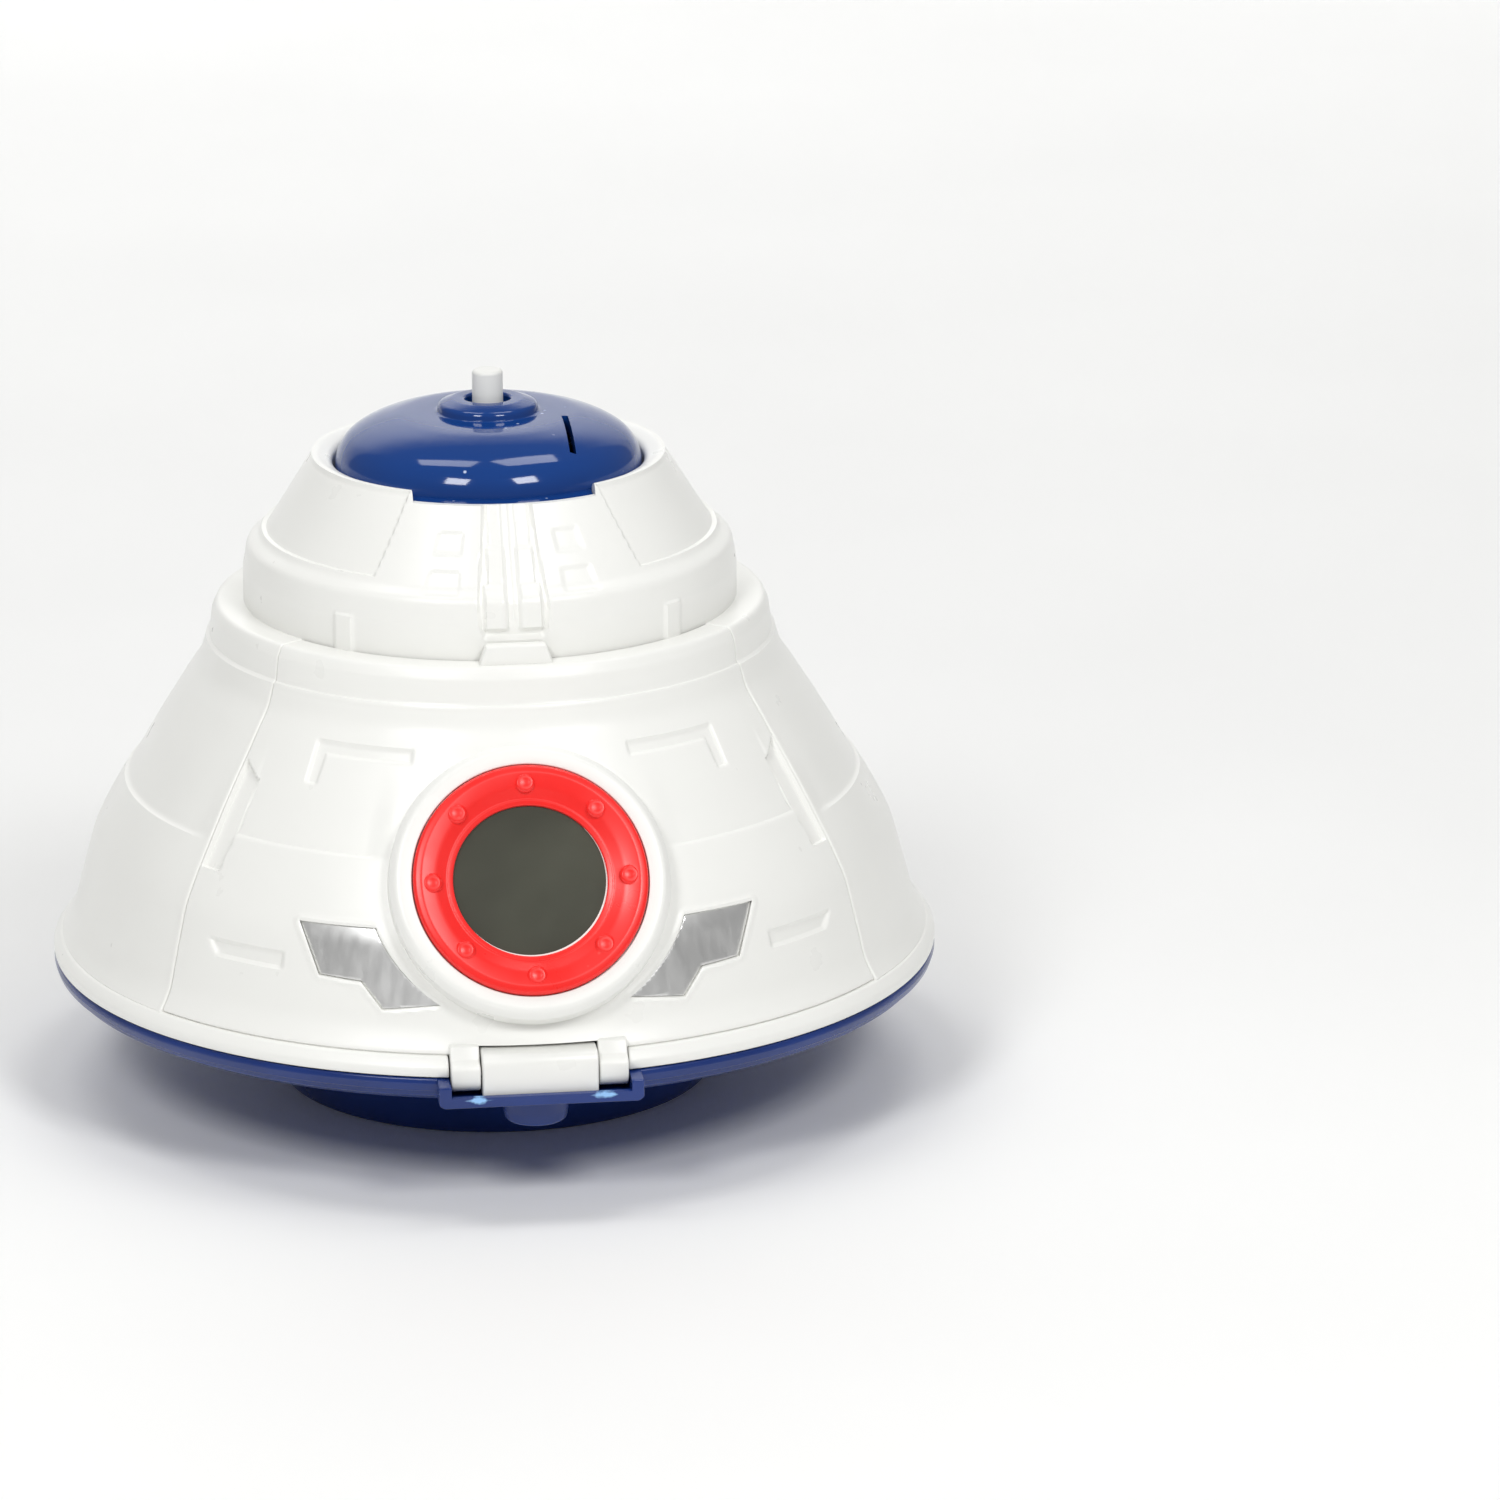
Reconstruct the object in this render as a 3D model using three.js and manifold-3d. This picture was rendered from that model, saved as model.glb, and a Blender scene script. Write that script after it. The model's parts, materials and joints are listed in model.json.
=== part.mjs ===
// Toy space capsule with a drop-down hatch and a push rod on top, in millimetres.
// Origin: centre of the foot's underside. +Z is up, the hatch faces -Y.
import * as THREE from "three";
import { mergeVertices } from "three/addons/utils/BufferGeometryUtils.js";
import Module from "manifold-3d";

const wasm = await Module();
wasm.setup();

// ---- driving dimensions ----
const SIDES = 36; // facets round the large turned shells
const WALL = 2.5; // radial wall of the cone
const GAP = 0.3; // clearance between neighbouring pieces

const FOOT_RADIUS = 44;
const BASE_RIM_RADIUS = 90;
const BASE_TOP = 27.3; // top of the blue base, where the white hoop stands
const HOOP_TOP = 31.6;
const COLLAR_TOP = 100.4;
const NOSE_RADIUS = 49.8;
const NOSE_TOP = 130.8;
const CAP_RADIUS = 31;
const CAP_SEAT = 124.9; // ledge inside the nose that carries the cap
const LEDGE_THICKNESS = 2;
const BOSS_TOP = 141;
const ROD_RADIUS = 3.1;
const ROD_TOP = 146.8;
const ROD_BOTTOM = 125.2;

const HATCH_HALF_ANGLE = 54;
const HATCH_SIDE_GAP = 0.25; // degrees
const NOTCH_HALF_WIDTH = 18.1;
const NOTCH_FLOOR = 128.4;
const TONGUE_RADIUS = 36.3; // the cap's tongue fills the notch
const TONGUE_FLOOR = 126.1;
const TONGUE_TOP = 127.9;

const HINGE_Y = -87.4;
const HINGE_Z = 28.1;
const BLOCK_HALF_WIDTH = 11.3;
const EAR_WIDTH = 5.7;
const EAR_RADIUS = 3.2;
const EAR_INNER = BLOCK_HALF_WIDTH + GAP;
const EAR_OUTER = EAR_INNER + EAR_WIDTH;
const HINGE_GAP_HALF = EAR_OUTER + GAP;
const PIN_RADIUS = 1;

const PORTHOLE_CENTRE = [0, -75.4, 63];
const PORTHOLE_TILT = 59; // degrees about X, so that the window follows the cone
const PORTHOLE_BOSS_RADIUS = 26.3;
const RING_RADIUS = 23;
const WINDOW_RADIUS = 15.1;
const LENS_RADIUS = 16.9;

const DECK_TOP = 20.8;
const DECK_THICKNESS = 2.5;
const DECK_RADIUS = 58;
const FOOT_FLOOR = 2.4;

const BULKHEAD_BOTTOM = 102.5;
const BULKHEAD_TOP = 105;
const BULKHEAD_RADIUS = 46.9;
const CELL_RADIUS = 5.8;
const CELL_HEIGHT = 5.4;
const CELL_PITCH = 12.4;
const BOARD_BOTTOM = 115.3;
const BOARD_THICKNESS = 1.6;

const SHANK_RADIUS = 1.25;
const HOLE_RADIUS = 1.6;
const HEAD_RADIUS = 2.7;
const HEAD_HEIGHT = 1.6;
const BASE_SCREW_RADIUS = 78;
const BASE_SCREW_ANGLES = [70, 140, -140, -70];
const BULKHEAD_SCREW_RADIUS = 41.5;
const BULKHEAD_SCREW_ANGLES = [45, 135, -135, -45];
const CAP_SCREW_RADIUS = 26.2;
const CAP_SCREW_ANGLES = [0, 120, -120];
const DECK_SCREW_RADIUS = 36;
const DECK_SCREW_ANGLES = [0, 120, -120];

// Outer outline of the white cone as [radius, height], from the hoop to the collar.
const CONE = [[88.3, 31.6], [86.7, 34], [85.3, 37.2], [83.5, 44], [81.2, 52], [79.2, 56], [74.7, 64],
  [69.8, 72], [64.6, 80], [59.1, 88.2], [57.7, 92.4]];
const HOOP = [[89.8, 27.6], [90.2, 28.8], [89.6, 30.1]];
const COLLAR = [[57, 93.4], [56.3, 98.2], [54.9, COLLAR_TOP]];
const NOSE = [[NOSE_RADIUS, 107], [49.3, 110], [48.4, 112.2], [46.6, 113.4], [45, 116], [39.9, 124],
  [36.2, 130], [34.8, NOSE_TOP]];

// ---- geometry helpers ----
const radians = THREE.MathUtils.degToRad;

// A point at a distance from the axis and an angle turned from the front (-Y) towards +X.
function around(radius, degrees) {
  return [radius * Math.sin(radians(degrees)), -radius * Math.cos(radians(degrees))];
}

// A manifold solid from a closed three.js geometry, with its faces turned outward.
function solid(geometry) {
  if (!(geometry instanceof THREE.BufferGeometry)) return geometry;
  const bare = geometry.clone();
  bare.deleteAttribute("normal");
  bare.deleteAttribute("uv");
  const merged = mergeVertices(bare, 1e-4);
  const points = merged.attributes.position.array;
  const index = merged.index.array;
  const corners = [];
  const corner = new THREE.Vector3();
  const side1 = new THREE.Vector3();
  const side2 = new THREE.Vector3();
  let volume = 0;
  for (let i = 0; i < index.length; i += 3) {
    const [a, b, c] = [index[i], index[i + 1], index[i + 2]];
    if (a === b || b === c || c === a) continue;
    corners.push(a, b, c);
    corner.fromArray(points, 3 * a);
    side1.fromArray(points, 3 * b);
    side2.fromArray(points, 3 * c);
    volume += corner.dot(side1.cross(side2));
  }
  if (volume < 0) corners.reverse();
  return new wasm.Manifold(new wasm.Mesh({
    numProp: 3,
    vertProperties: new Float32Array(points),
    triVerts: new Uint32Array(corners),
  }));
}

function geometryOf(body) {
  const mesh = body.getMesh();
  const geometry = new THREE.BufferGeometry();
  geometry.setAttribute("position", new THREE.BufferAttribute(new Float32Array(mesh.vertProperties), 3));
  geometry.setIndex(new THREE.BufferAttribute(new Uint32Array(mesh.triVerts), 1));
  const flat = geometry.toNonIndexed();
  flat.computeVertexNormals();
  return flat;
}

// A body turned about Z from an outline of [radius, height], closed on itself unless it meets the axis.
function turned(outline, sides = SIDES) {
  const points = outline.map(([radius, height]) => new THREE.Vector2(radius, height));
  const onAxis = outline[0][0] === 0 && outline.at(-1)[0] === 0;
  if (!onAxis) points.push(points[0].clone());
  return new THREE.LatheGeometry(points, sides).rotateX(Math.PI / 2);
}

function cylinder(radius, bottom, top, x = 0, y = 0, sides = 10) {
  const outline = [[0, bottom], [radius, bottom], [radius, top], [0, top]];
  return turned(outline, sides).translate(x, y, 0);
}

// A box given by its lowest and highest corners.
function box(low, high) {
  const size = high.map((value, axis) => value - low[axis]);
  const centre = high.map((value, axis) => (value + low[axis]) / 2);
  return new THREE.BoxGeometry(...size).translate(...centre);
}

function extruded(points, depth) {
  const shape = new THREE.Shape(points.map(([x, y]) => new THREE.Vector2(x, y)));
  return new THREE.ExtrudeGeometry(shape, { depth, bevelEnabled: false, steps: 1 });
}

// A prism along Y with an outline of [x, z].
function prismAlongY(points, back, front) {
  return extruded(points, front - back).rotateX(Math.PI / 2).translate(0, front, 0);
}

// A prism along X with an outline of [y, z].
function prismAlongX(points, left, right) {
  const axes = [new THREE.Vector3(0, 1, 0), new THREE.Vector3(0, 0, 1), new THREE.Vector3(1, 0, 0)];
  const turn = new THREE.Matrix4().makeBasis(...axes);
  return extruded(points, right - left).applyMatrix4(turn).translate(left, 0, 0);
}

// A cylinder along X about a point in the YZ plane.
function barrel(radius, left, right, y, z, sides = 14) {
  const disc = new THREE.CylinderGeometry(radius, radius, right - left, sides);
  return disc.rotateZ(Math.PI / 2).translate((left + right) / 2, y, z);
}

// A sector about the front (-Y), wide enough to cut through the whole cone.
function sector(halfAngle, bottom, top) {
  const far = 200;
  const points = [[0, 0], around(far, -halfAngle), around(far, halfAngle)];
  return extruded(points, top - bottom).translate(0, 0, bottom);
}

function inward(outline, depth) {
  return outline.map(([radius, height]) => [radius - depth, height]);
}

function joined(...geometries) {
  return geometries.map(solid).reduce((whole, piece) => whole.add(piece));
}

function cut(body, ...geometries) {
  return geometries.map(solid).reduce((rest, tool) => rest.subtract(tool), body);
}

// ---- finishes ----
function finish(color, roughness, metalness = 0) {
  return new THREE.MeshStandardMaterial({ color, roughness, metalness });
}

const WHITE = () => finish(0xf2f2f0, 0.35);
const BLUE = () => finish(0x1f3f86, 0.3);
const RED = () => finish(0xe0262a, 0.3);
const SILVER = () => finish(0xb9bbbd, 0.35, 0.9);
const STEEL = () => finish(0x9ea0a3, 0.35, 1);
const SMOKE = () => finish(0x4b4c44, 0.15);
const GREEN = () => finish(0x1f6b3a, 0.5);
const BLACK = () => finish(0x1c1c1e, 0.5);
const GREY = () => finish(0x9fa6ad, 0.45);
const AMBER = () => finish(0xffd9a0, 0.2);

const capsule = new THREE.Group();

function add(name, shape, material, parent = capsule) {
  const geometry = shape instanceof THREE.BufferGeometry ? shape : geometryOf(shape);
  const mesh = new THREE.Mesh(geometry, material);
  mesh.name = name;
  parent.add(mesh);
  return mesh;
}

// A pan-head screw with its head's bearing face at z = 0 and its shank upwards.
function screwBody(length) {
  const outline = [[0, -HEAD_HEIGHT], [1.7, -HEAD_HEIGHT], [HEAD_RADIUS, -0.7], [HEAD_RADIUS, 0],
    [SHANK_RADIUS, 0], [SHANK_RADIUS, length - 1], [0, length]];
  return turned(outline, 8);
}

// Screws share a length; each drives upwards from its place, or downwards if it is turned over.
function addScrew(name, place, length, downwards = false) {
  const mesh = add(name, screwBody(length), STEEL());
  mesh.position.set(...place);
  if (downwards) mesh.rotation.x = Math.PI;
}

// ---- base ----
function baseDish() {
  const shell = turned([[0, 0], [FOOT_RADIUS - 0.8, 0], [FOOT_RADIUS, 0.8], [47.6, 12], [52, 13.6],
    [84, 21.3], [88.3, 23.6], [BASE_RIM_RADIUS, 26.9], [89.7, BASE_TOP], [84.2, BASE_TOP], [83.4, 24.6],
    [52, 16.4], [46, 14.6], [41.8, FOOT_FLOOR], [0, FOOT_FLOOR]]);
  const pocket = box([-20, -93.4, 22.9], [20, -79, BASE_TOP]);
  const hingeBoss = cylinder(6.45, 15.9, 23.4, 0, -80, 32);
  const pads = BASE_SCREW_ANGLES.map(
    (angle) => cylinder(5, 18.6, 24.1, ...around(BASE_SCREW_RADIUS, angle)),
  );
  const posts = DECK_SCREW_ANGLES.map(
    (angle) => cylinder(3.5, FOOT_FLOOR - 1, 18, ...around(DECK_SCREW_RADIUS, angle)),
  );
  const body = joined(shell, pocket, hingeBoss, ...pads, ...posts);
  const padHoles = BASE_SCREW_ANGLES.flatMap((angle) => {
    const place = around(BASE_SCREW_RADIUS, angle);
    return [cylinder(HOLE_RADIUS, 15, 30, ...place), cylinder(3.2, 15, 20.9, ...place)];
  });
  const postHoles = DECK_SCREW_ANGLES.map(
    (angle) => cylinder(HOLE_RADIUS, 7, 19, ...around(DECK_SCREW_RADIUS, angle)),
  );
  return cut(
    body,
    box([-HINGE_GAP_HALF, -92, 23.8], [HINGE_GAP_HALF, -83.6, 40]),
    box([-BLOCK_HALF_WIDTH - GAP, -92, 23.8], [BLOCK_HALF_WIDTH + GAP, -74.6, 40]),
    box([-30, -100, 24.9], [30, -91.7, 40]),
    cylinder(HOLE_RADIUS, 10, 30, 0, -80),
    cylinder(3.2, 10, 18, 0, -80),
    ...padHoles,
    ...postHoles,
  );
}

add("base_dish", baseDish(), BLUE());

BASE_SCREW_ANGLES.forEach((angle, number) => {
  addScrew(`base_screw_${number + 1}`, [...around(BASE_SCREW_RADIUS, angle), 20.6], 14);
});

// ---- white shells ----
const skinOutline = [
  ...HOOP, ...CONE, ...COLLAR, [NOSE_RADIUS, COLLAR_TOP], ...NOSE,
  [CAP_RADIUS + 0.9, 129.2], [CAP_RADIUS + GAP, 128.6], [CAP_RADIUS + GAP, CAP_SEAT], [22.5, CAP_SEAT],
  [22.5, CAP_SEAT - LEDGE_THICKNESS], [38, CAP_SEAT - LEDGE_THICKNESS], [42.4, 116], [46.4, 110],
  [47.4, 107], [47.4, 98.2], [52.6, 98.2],
  ...inward(CONE.filter((point, number) => number % 2 === 0), WALL).reverse(), [83.6, BASE_TOP + GAP],
];
const skin = solid(turned(skinOutline));
const envelope = solid(turned([
  [0, BASE_TOP + GAP - 4], [85, BASE_TOP + GAP - 4], ...inward([...CONE, ...COLLAR, ...NOSE], 0.6),
  [0, NOSE_TOP],
]));

// The space that the hatch fills: the front of the cone and collar, outside the nose.
function hatchZone(halfAngle, bottom, innerRadius) {
  const zone = solid(sector(halfAngle, bottom, COLLAR_TOP + 3));
  return cut(zone, cylinder(innerRadius, 90, COLLAR_TOP + 4, 0, 0, SIDES));
}

// The straight notch at the front of the nose's top ring.
function notchBlock(halfWidth, bottom, top) {
  return box([-halfWidth, -60, bottom], [halfWidth, -20, top]);
}

function mainShell() {
  const baseBosses = BASE_SCREW_ANGLES.map(
    (angle) => cylinder(3.6, 24.4, 56, ...around(BASE_SCREW_RADIUS, angle)),
  );
  const noseBosses = BULKHEAD_SCREW_ANGLES.map(
    (angle) => cylinder(3.2, BULKHEAD_TOP + GAP, 121, ...around(BULKHEAD_SCREW_RADIUS, angle)),
  );
  const bosses = joined(...baseBosses, ...noseBosses).intersect(envelope);
  const holes = [
    ...BASE_SCREW_ANGLES.map((angle) => cylinder(HOLE_RADIUS, 20, 38, ...around(BASE_SCREW_RADIUS, angle))),
    ...BULKHEAD_SCREW_ANGLES.map(
      (angle) => cylinder(HOLE_RADIUS, 100, 114, ...around(BULKHEAD_SCREW_RADIUS, angle)),
    ),
    ...CAP_SCREW_ANGLES.map(
      (angle) => cylinder(HOLE_RADIUS, 118, 126, ...around(CAP_SCREW_RADIUS, angle)),
    ),
  ];
  const whole = skin.add(bosses)
    .subtract(hatchZone(HATCH_HALF_ANGLE + HATCH_SIDE_GAP, HOOP_TOP - 0.2, NOSE_RADIUS));
  return cut(
    whole,
    notchBlock(NOTCH_HALF_WIDTH, NOTCH_FLOOR, NOSE_TOP + 1),
    solid(notchBlock(NOTCH_HALF_WIDTH, TONGUE_FLOOR, NOSE_TOP)).intersect(
      solid(cylinder(TONGUE_RADIUS + GAP, 120, NOSE_TOP, 0, 0, SIDES)),
    ),
    box([-HINGE_GAP_HALF, -100, 20], [HINGE_GAP_HALF, -70, HOOP_TOP + 0.1]),
    ...holes,
  );
}

add("main_shell", mainShell(), WHITE());

// ---- hatch ----
const portholeFrame = new THREE.Matrix4()
  .makeTranslation(...PORTHOLE_CENTRE)
  .multiply(new THREE.Matrix4().makeRotationX(radians(PORTHOLE_TILT)));

// The silver inlay's outline as [x, z], its inner edge an arc round the porthole.
function inlayOutline(side, margin) {
  const arcRadius = 32.3 - margin;
  const slope = Math.sin(radians(PORTHOLE_TILT));
  const points = [];
  for (let step = 0; step <= 5; step += 1) {
    const angle = radians(THREE.MathUtils.lerp(-19.5, -54.5, step / 5));
    const height = PORTHOLE_CENTRE[2] + arcRadius * Math.sin(angle) * slope;
    points.push([arcRadius * Math.cos(angle), height - margin * step / 5 + margin * (1 - step / 5)]);
  }
  points.push([29.5 + margin, 39.3 - margin]);
  points.push([33.3 + margin, 44.1 - margin]);
  points.push([41.2 + margin, 44.6 - margin]);
  points.push([44.2 + margin, 53.8 + margin]);
  return points.map(([x, z]) => [side * x, z]);
}

// A layer under the cone's surface, between two depths.
function coneLayer(shallow, deep) {
  const part = CONE.filter(([, height]) => height > 33 && height < 73);
  return solid(turned([...inward(part, shallow), ...inward(part, deep).reverse()]));
}

const inlayLayer = coneLayer(0.25, 1.05);
const pocketLayer = coneLayer(-1, 1.05 + GAP);

function inlay(side) {
  return solid(prismAlongY(inlayOutline(side, 0), -95, -50)).intersect(inlayLayer);
}

function hatch() {
  const panel = skin.intersect(hatchZone(HATCH_HALF_ANGLE, HOOP_TOP + 0.2, NOSE_RADIUS + GAP));
  const ears = [-1, 1].flatMap((side) => {
    const [left, right] = [side * EAR_INNER, side * EAR_OUTER].sort((a, b) => a - b);
    return [
      barrel(EAR_RADIUS, left, right, HINGE_Y, HINGE_Z),
      box([left, HINGE_Y - 0.6, HINGE_Z], [right, -84.2, 33.4]),
    ];
  });
  const tab = prismAlongY([[-7.2, 99.5], [7.2, 99.5], [6, 104.3], [-6, 104.3]], -52.8, -NOSE_RADIUS - GAP);
  const porthole = cylinder(PORTHOLE_BOSS_RADIUS, -6.5, 0.9, 0, 0, 30).applyMatrix4(portholeFrame);
  const hollow = turned([[17.8, -8], [24.2, -8], [24.2, -3.4], [17.8, -3.4]], 30);
  const openings = [
    cylinder(WINDOW_RADIUS - 0.3, -12, 5, 0, 0, 30),
    cylinder(LENS_RADIUS + GAP, -2.7, 5, 0, 0, 30),
    cylinder(RING_RADIUS + GAP, -0.7, 5, 0, 0, 30),
    hollow,
  ].map((geometry) => geometry.applyMatrix4(portholeFrame));
  const pockets = [-1, 1].map(
    (side) => solid(prismAlongY(inlayOutline(side, GAP), -95, -50)).intersect(pocketLayer),
  );
  const blank = panel.add(joined(...ears, tab, porthole));
  return cut(
    pockets.reduce((rest, pocket) => rest.subtract(pocket), blank),
    ...openings,
    box([-EAR_INNER, -95, 20], [EAR_INNER, -80, 33.4]),
    barrel(PIN_RADIUS + 0.35, -20, 20, HINGE_Y, HINGE_Z, 12),
  );
}

add("hatch", hatch(), WHITE());
add("silver_inlay_left", inlay(-1), SILVER());
add("silver_inlay_right", inlay(1), SILVER());

const porthole = new THREE.Group();
porthole.applyMatrix4(portholeFrame);
capsule.add(porthole);

function portholeRing() {
  const flange = turned([[WINDOW_RADIUS, -0.4], [RING_RADIUS, -0.4], [RING_RADIUS, 1.2], [22.3, 1.8],
    [20.5, 1.9], [17, 1.3], [WINDOW_RADIUS, 0.3]], 30);
  const domes = [];
  for (let number = 0; number < 8; number += 1) {
    const dome = new THREE.SphereGeometry(1.9, 8, 4).scale(1, 1, 0.55);
    domes.push(dome.translate(...around(19.2, 45 * number - 3), 1.55));
  }
  return joined(flange, ...domes);
}

add("porthole_ring", portholeRing(), RED(), porthole);
add("porthole_lens", cylinder(LENS_RADIUS, -2.4, -1, 0, 0, 30), SMOKE(), porthole);

// ---- hinge ----
function hingeBlock() {
  const outline = [[-90.7, 24.1], [-75, 24.1], [-75, 27.6], [-84.4, 27.6], [-84.4, 31.8], [-85.4, 32.7],
    [-89.4, 32.7], [-90.8, 32.1], [-91.5, 31.1], [-91.5, 24.9]];
  return cut(
    solid(prismAlongX(outline, -BLOCK_HALF_WIDTH, BLOCK_HALF_WIDTH)),
    barrel(PIN_RADIUS + 0.35, -20, 20, HINGE_Y, HINGE_Z, 12),
    cylinder(HOLE_RADIUS, 20, 26.6, 0, -80),
  );
}

add("hinge_block", hingeBlock(), WHITE());
add("hinge_pin", barrel(PIN_RADIUS, -17, 17, HINGE_Y, HINGE_Z, 12), STEEL());
addScrew("hinge_screw", [0, -80, 17.7], 8.5);

// ---- cap and push button ----
function topCap() {
  const dome = turned([[4.6, BOSS_TOP], [7.6, BOSS_TOP], [9.6, 140], [10.3, 138.8], [10.3, 138.3],
    [14.5, 138.3], [18, 138], [21.5, 137.1], [25, 135.7], [28, 133.7], [29.9, 131.4], [CAP_RADIUS, 128],
    [CAP_RADIUS, CAP_SEAT + GAP], [28.8, CAP_SEAT + GAP], [28.5, 130.3], [26, 132.4], [18, 134.8],
    [9.2, 135.4], [9.2, 127.2], [7, 127.2], [7, 135.2], [4.6, 135.2]]);
  const tongue = solid(notchBlock(NOTCH_HALF_WIDTH - GAP, TONGUE_FLOOR + GAP, TONGUE_TOP)).intersect(
    solid(turned([[30, 120], [TONGUE_RADIUS, 120], [TONGUE_RADIUS, 130], [30, 130]])),
  );
  const capBosses = CAP_SCREW_ANGLES.map(
    (angle) => cylinder(2.6, CAP_SEAT + GAP, 132.3, ...around(CAP_SCREW_RADIUS, angle)),
  );
  const retainerBosses = [-13, 13].map((y) => cylinder(2.8, 127.2, 135, 0, y));
  const holes = [
    ...CAP_SCREW_ANGLES.map(
      (angle) => cylinder(HOLE_RADIUS, 120, 130.2, ...around(CAP_SCREW_RADIUS, angle)),
    ),
    ...[-13, 13].map((y) => cylinder(HOLE_RADIUS, 120, 133, 0, y)),
  ];
  const slit = box([14.2, -22.4, 130], [15.4, -6.4, 140]);
  return cut(joined(dome, tongue, ...capBosses, ...retainerBosses), slit, ...holes);
}

add("top_cap", topCap(), BLUE());
CAP_SCREW_ANGLES.forEach((angle, number) => {
  const place = [...around(CAP_SCREW_RADIUS, angle), CAP_SEAT - LEDGE_THICKNESS - GAP];
  addScrew(`cap_screw_${number + 1}`, place, 7);
});

const rodOutline = [[0, ROD_BOTTOM], [ROD_RADIUS, ROD_BOTTOM], [ROD_RADIUS, 133.4], [6.4, 133.4],
  [6.4, 134.9], [ROD_RADIUS, 134.9], [ROD_RADIUS, ROD_TOP - 0.9], [ROD_RADIUS - 0.3, ROD_TOP - 0.3],
  [ROD_RADIUS - 0.9, ROD_TOP], [0, ROD_TOP]];
add("push_button", turned(rodOutline, 20), WHITE());

function retainer() {
  return cut(
    solid(box([-5, -17, 125.3], [5, 17, 126.9])),
    cylinder(3.5, 120, 130, 0, 0, 16),
    ...[-13, 13].map((y) => cylinder(HOLE_RADIUS, 120, 130, 0, y)),
  );
}

add("button_retainer", retainer(), BLUE());
[-13, 13].forEach((y, number) => {
  addScrew(`retainer_screw_${number + 1}`, [0, y, 125], 7);
});

// The return spring stands on the retainer and pushes the button's flange up.
class Helix extends THREE.Curve {
  getPoint(t, target = new THREE.Vector3()) {
    const turn = 2 * Math.PI * 3 * t;
    return target.set(5 * Math.cos(turn), 5 * Math.sin(turn), 127.6 + 5.1 * t);
  }
}

function springWire() {
  const section = new THREE.Shape();
  section.absarc(0, 0, 0.35, 0, 2 * Math.PI);
  const wire = { extrudePath: new Helix(), steps: 30, curveSegments: 3, bevelEnabled: false };
  return new THREE.ExtrudeGeometry(section, wire);
}

add("button_spring", solid(springWire()), STEEL());

// ---- sound module under the nose ----
const pocketHalf = [CELL_PITCH + CELL_RADIUS + 0.7, CELL_RADIUS + 0.6];
const boardPosts = [[-17, -13], [17, -13], [-17, 13], [17, 13]];
const speakerY = 29;

function bulkhead() {
  const [halfX, halfY] = pocketHalf;
  const plate = cylinder(BULKHEAD_RADIUS, BULKHEAD_BOTTOM, BULKHEAD_TOP, 0, 0, SIDES);
  const cellBox = box([-halfX - 1.2, -halfY - 1.2, BULKHEAD_TOP - 1], [halfX + 1.2, halfY + 1.2, 112.4]);
  const posts = boardPosts.map(([x, y]) => cylinder(2.4, BULKHEAD_TOP - 1, BOARD_BOTTOM - GAP, x, y));
  const grille = [];
  for (let number = 0; number < 6; number += 1) {
    const [x, y] = around(6, 60 * number);
    grille.push(cylinder(1.5, 100, 110, x, y + speakerY, 8));
  }
  return cut(
    joined(plate, cellBox, ...posts),
    box([-halfX, -halfY, 100], [halfX, halfY, 111.3]),
    box([-halfX - 2, -halfY - 2, 100], [halfX + 6, halfY + 2, 104.1]),
    cylinder(HOLE_RADIUS, 100, 106, 22.4, 0),
    cylinder(2.9, 100, 110, 0, -27),
    ...grille,
    cylinder(HOLE_RADIUS, 108, 116, boardPosts[0][0], boardPosts[0][1]),
    cylinder(HOLE_RADIUS, 108, 116, boardPosts[3][0], boardPosts[3][1]),
    ...BULKHEAD_SCREW_ANGLES.map(
      (angle) => cylinder(HOLE_RADIUS, 100, 110, ...around(BULKHEAD_SCREW_RADIUS, angle)),
    ),
  );
}

function batteryCover() {
  const [halfX, halfY] = pocketHalf;
  const plate = box([-halfX - 1.7, -halfY - 1.7, BULKHEAD_BOTTOM], [halfX + 5.7, halfY + 1.7, 103.8]);
  return cut(solid(plate), cylinder(HOLE_RADIUS, 100, 106, 22.4, 0));
}

add("nose_bulkhead", bulkhead(), WHITE());
add("battery_cover", batteryCover(), WHITE());
addScrew("battery_cover_screw", [22.4, 0, BULKHEAD_BOTTOM - GAP], 5);
BULKHEAD_SCREW_ANGLES.forEach((angle, number) => {
  const place = [...around(BULKHEAD_SCREW_RADIUS, angle), BULKHEAD_BOTTOM - GAP];
  addScrew(`bulkhead_screw_${number + 1}`, place, 10);
});

const cellOutline = [[0, 0], [CELL_RADIUS, 0], [CELL_RADIUS, 4.9], [4.7, CELL_HEIGHT], [0, CELL_HEIGHT]];
[-1, 0, 1].forEach((place) => {
  const mesh = add(`button_cell_${place + 2}`, turned(cellOutline, 14), STEEL());
  mesh.position.set(place * CELL_PITCH, 0, 104.4);
});
add("battery_contact_plus", box([-17, -2, 110.3], [-1.5, 2, 110.8]), STEEL());
add("battery_contact_minus", box([1.5, -2, 110.3], [17, 2, 110.8]), STEEL());

const boardTop = BOARD_BOTTOM + BOARD_THICKNESS;
const switchBody = box([-3, -3, boardTop + GAP], [3, 3, 120.7]);
const switchPlunger = cylinder(1.7, 120, 121.9, 0, 0);
const boardHoles = [boardPosts[0], boardPosts[3]].map(([x, y]) => cylinder(HOLE_RADIUS, 110, 120, x, y));
add("sound_board", cut(solid(box([-20, -16, BOARD_BOTTOM], [20, 16, boardTop])), ...boardHoles), GREEN());
add("tact_switch", joined(switchBody, switchPlunger), BLACK());
add("sound_chip", cylinder(4, boardTop + GAP, 118.6, 11, -7), BLACK());
addScrew("board_screw_1", [...boardPosts[0], boardTop + GAP], 8, true);
addScrew("board_screw_2", [...boardPosts[3], boardTop + GAP], 8, true);

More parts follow.
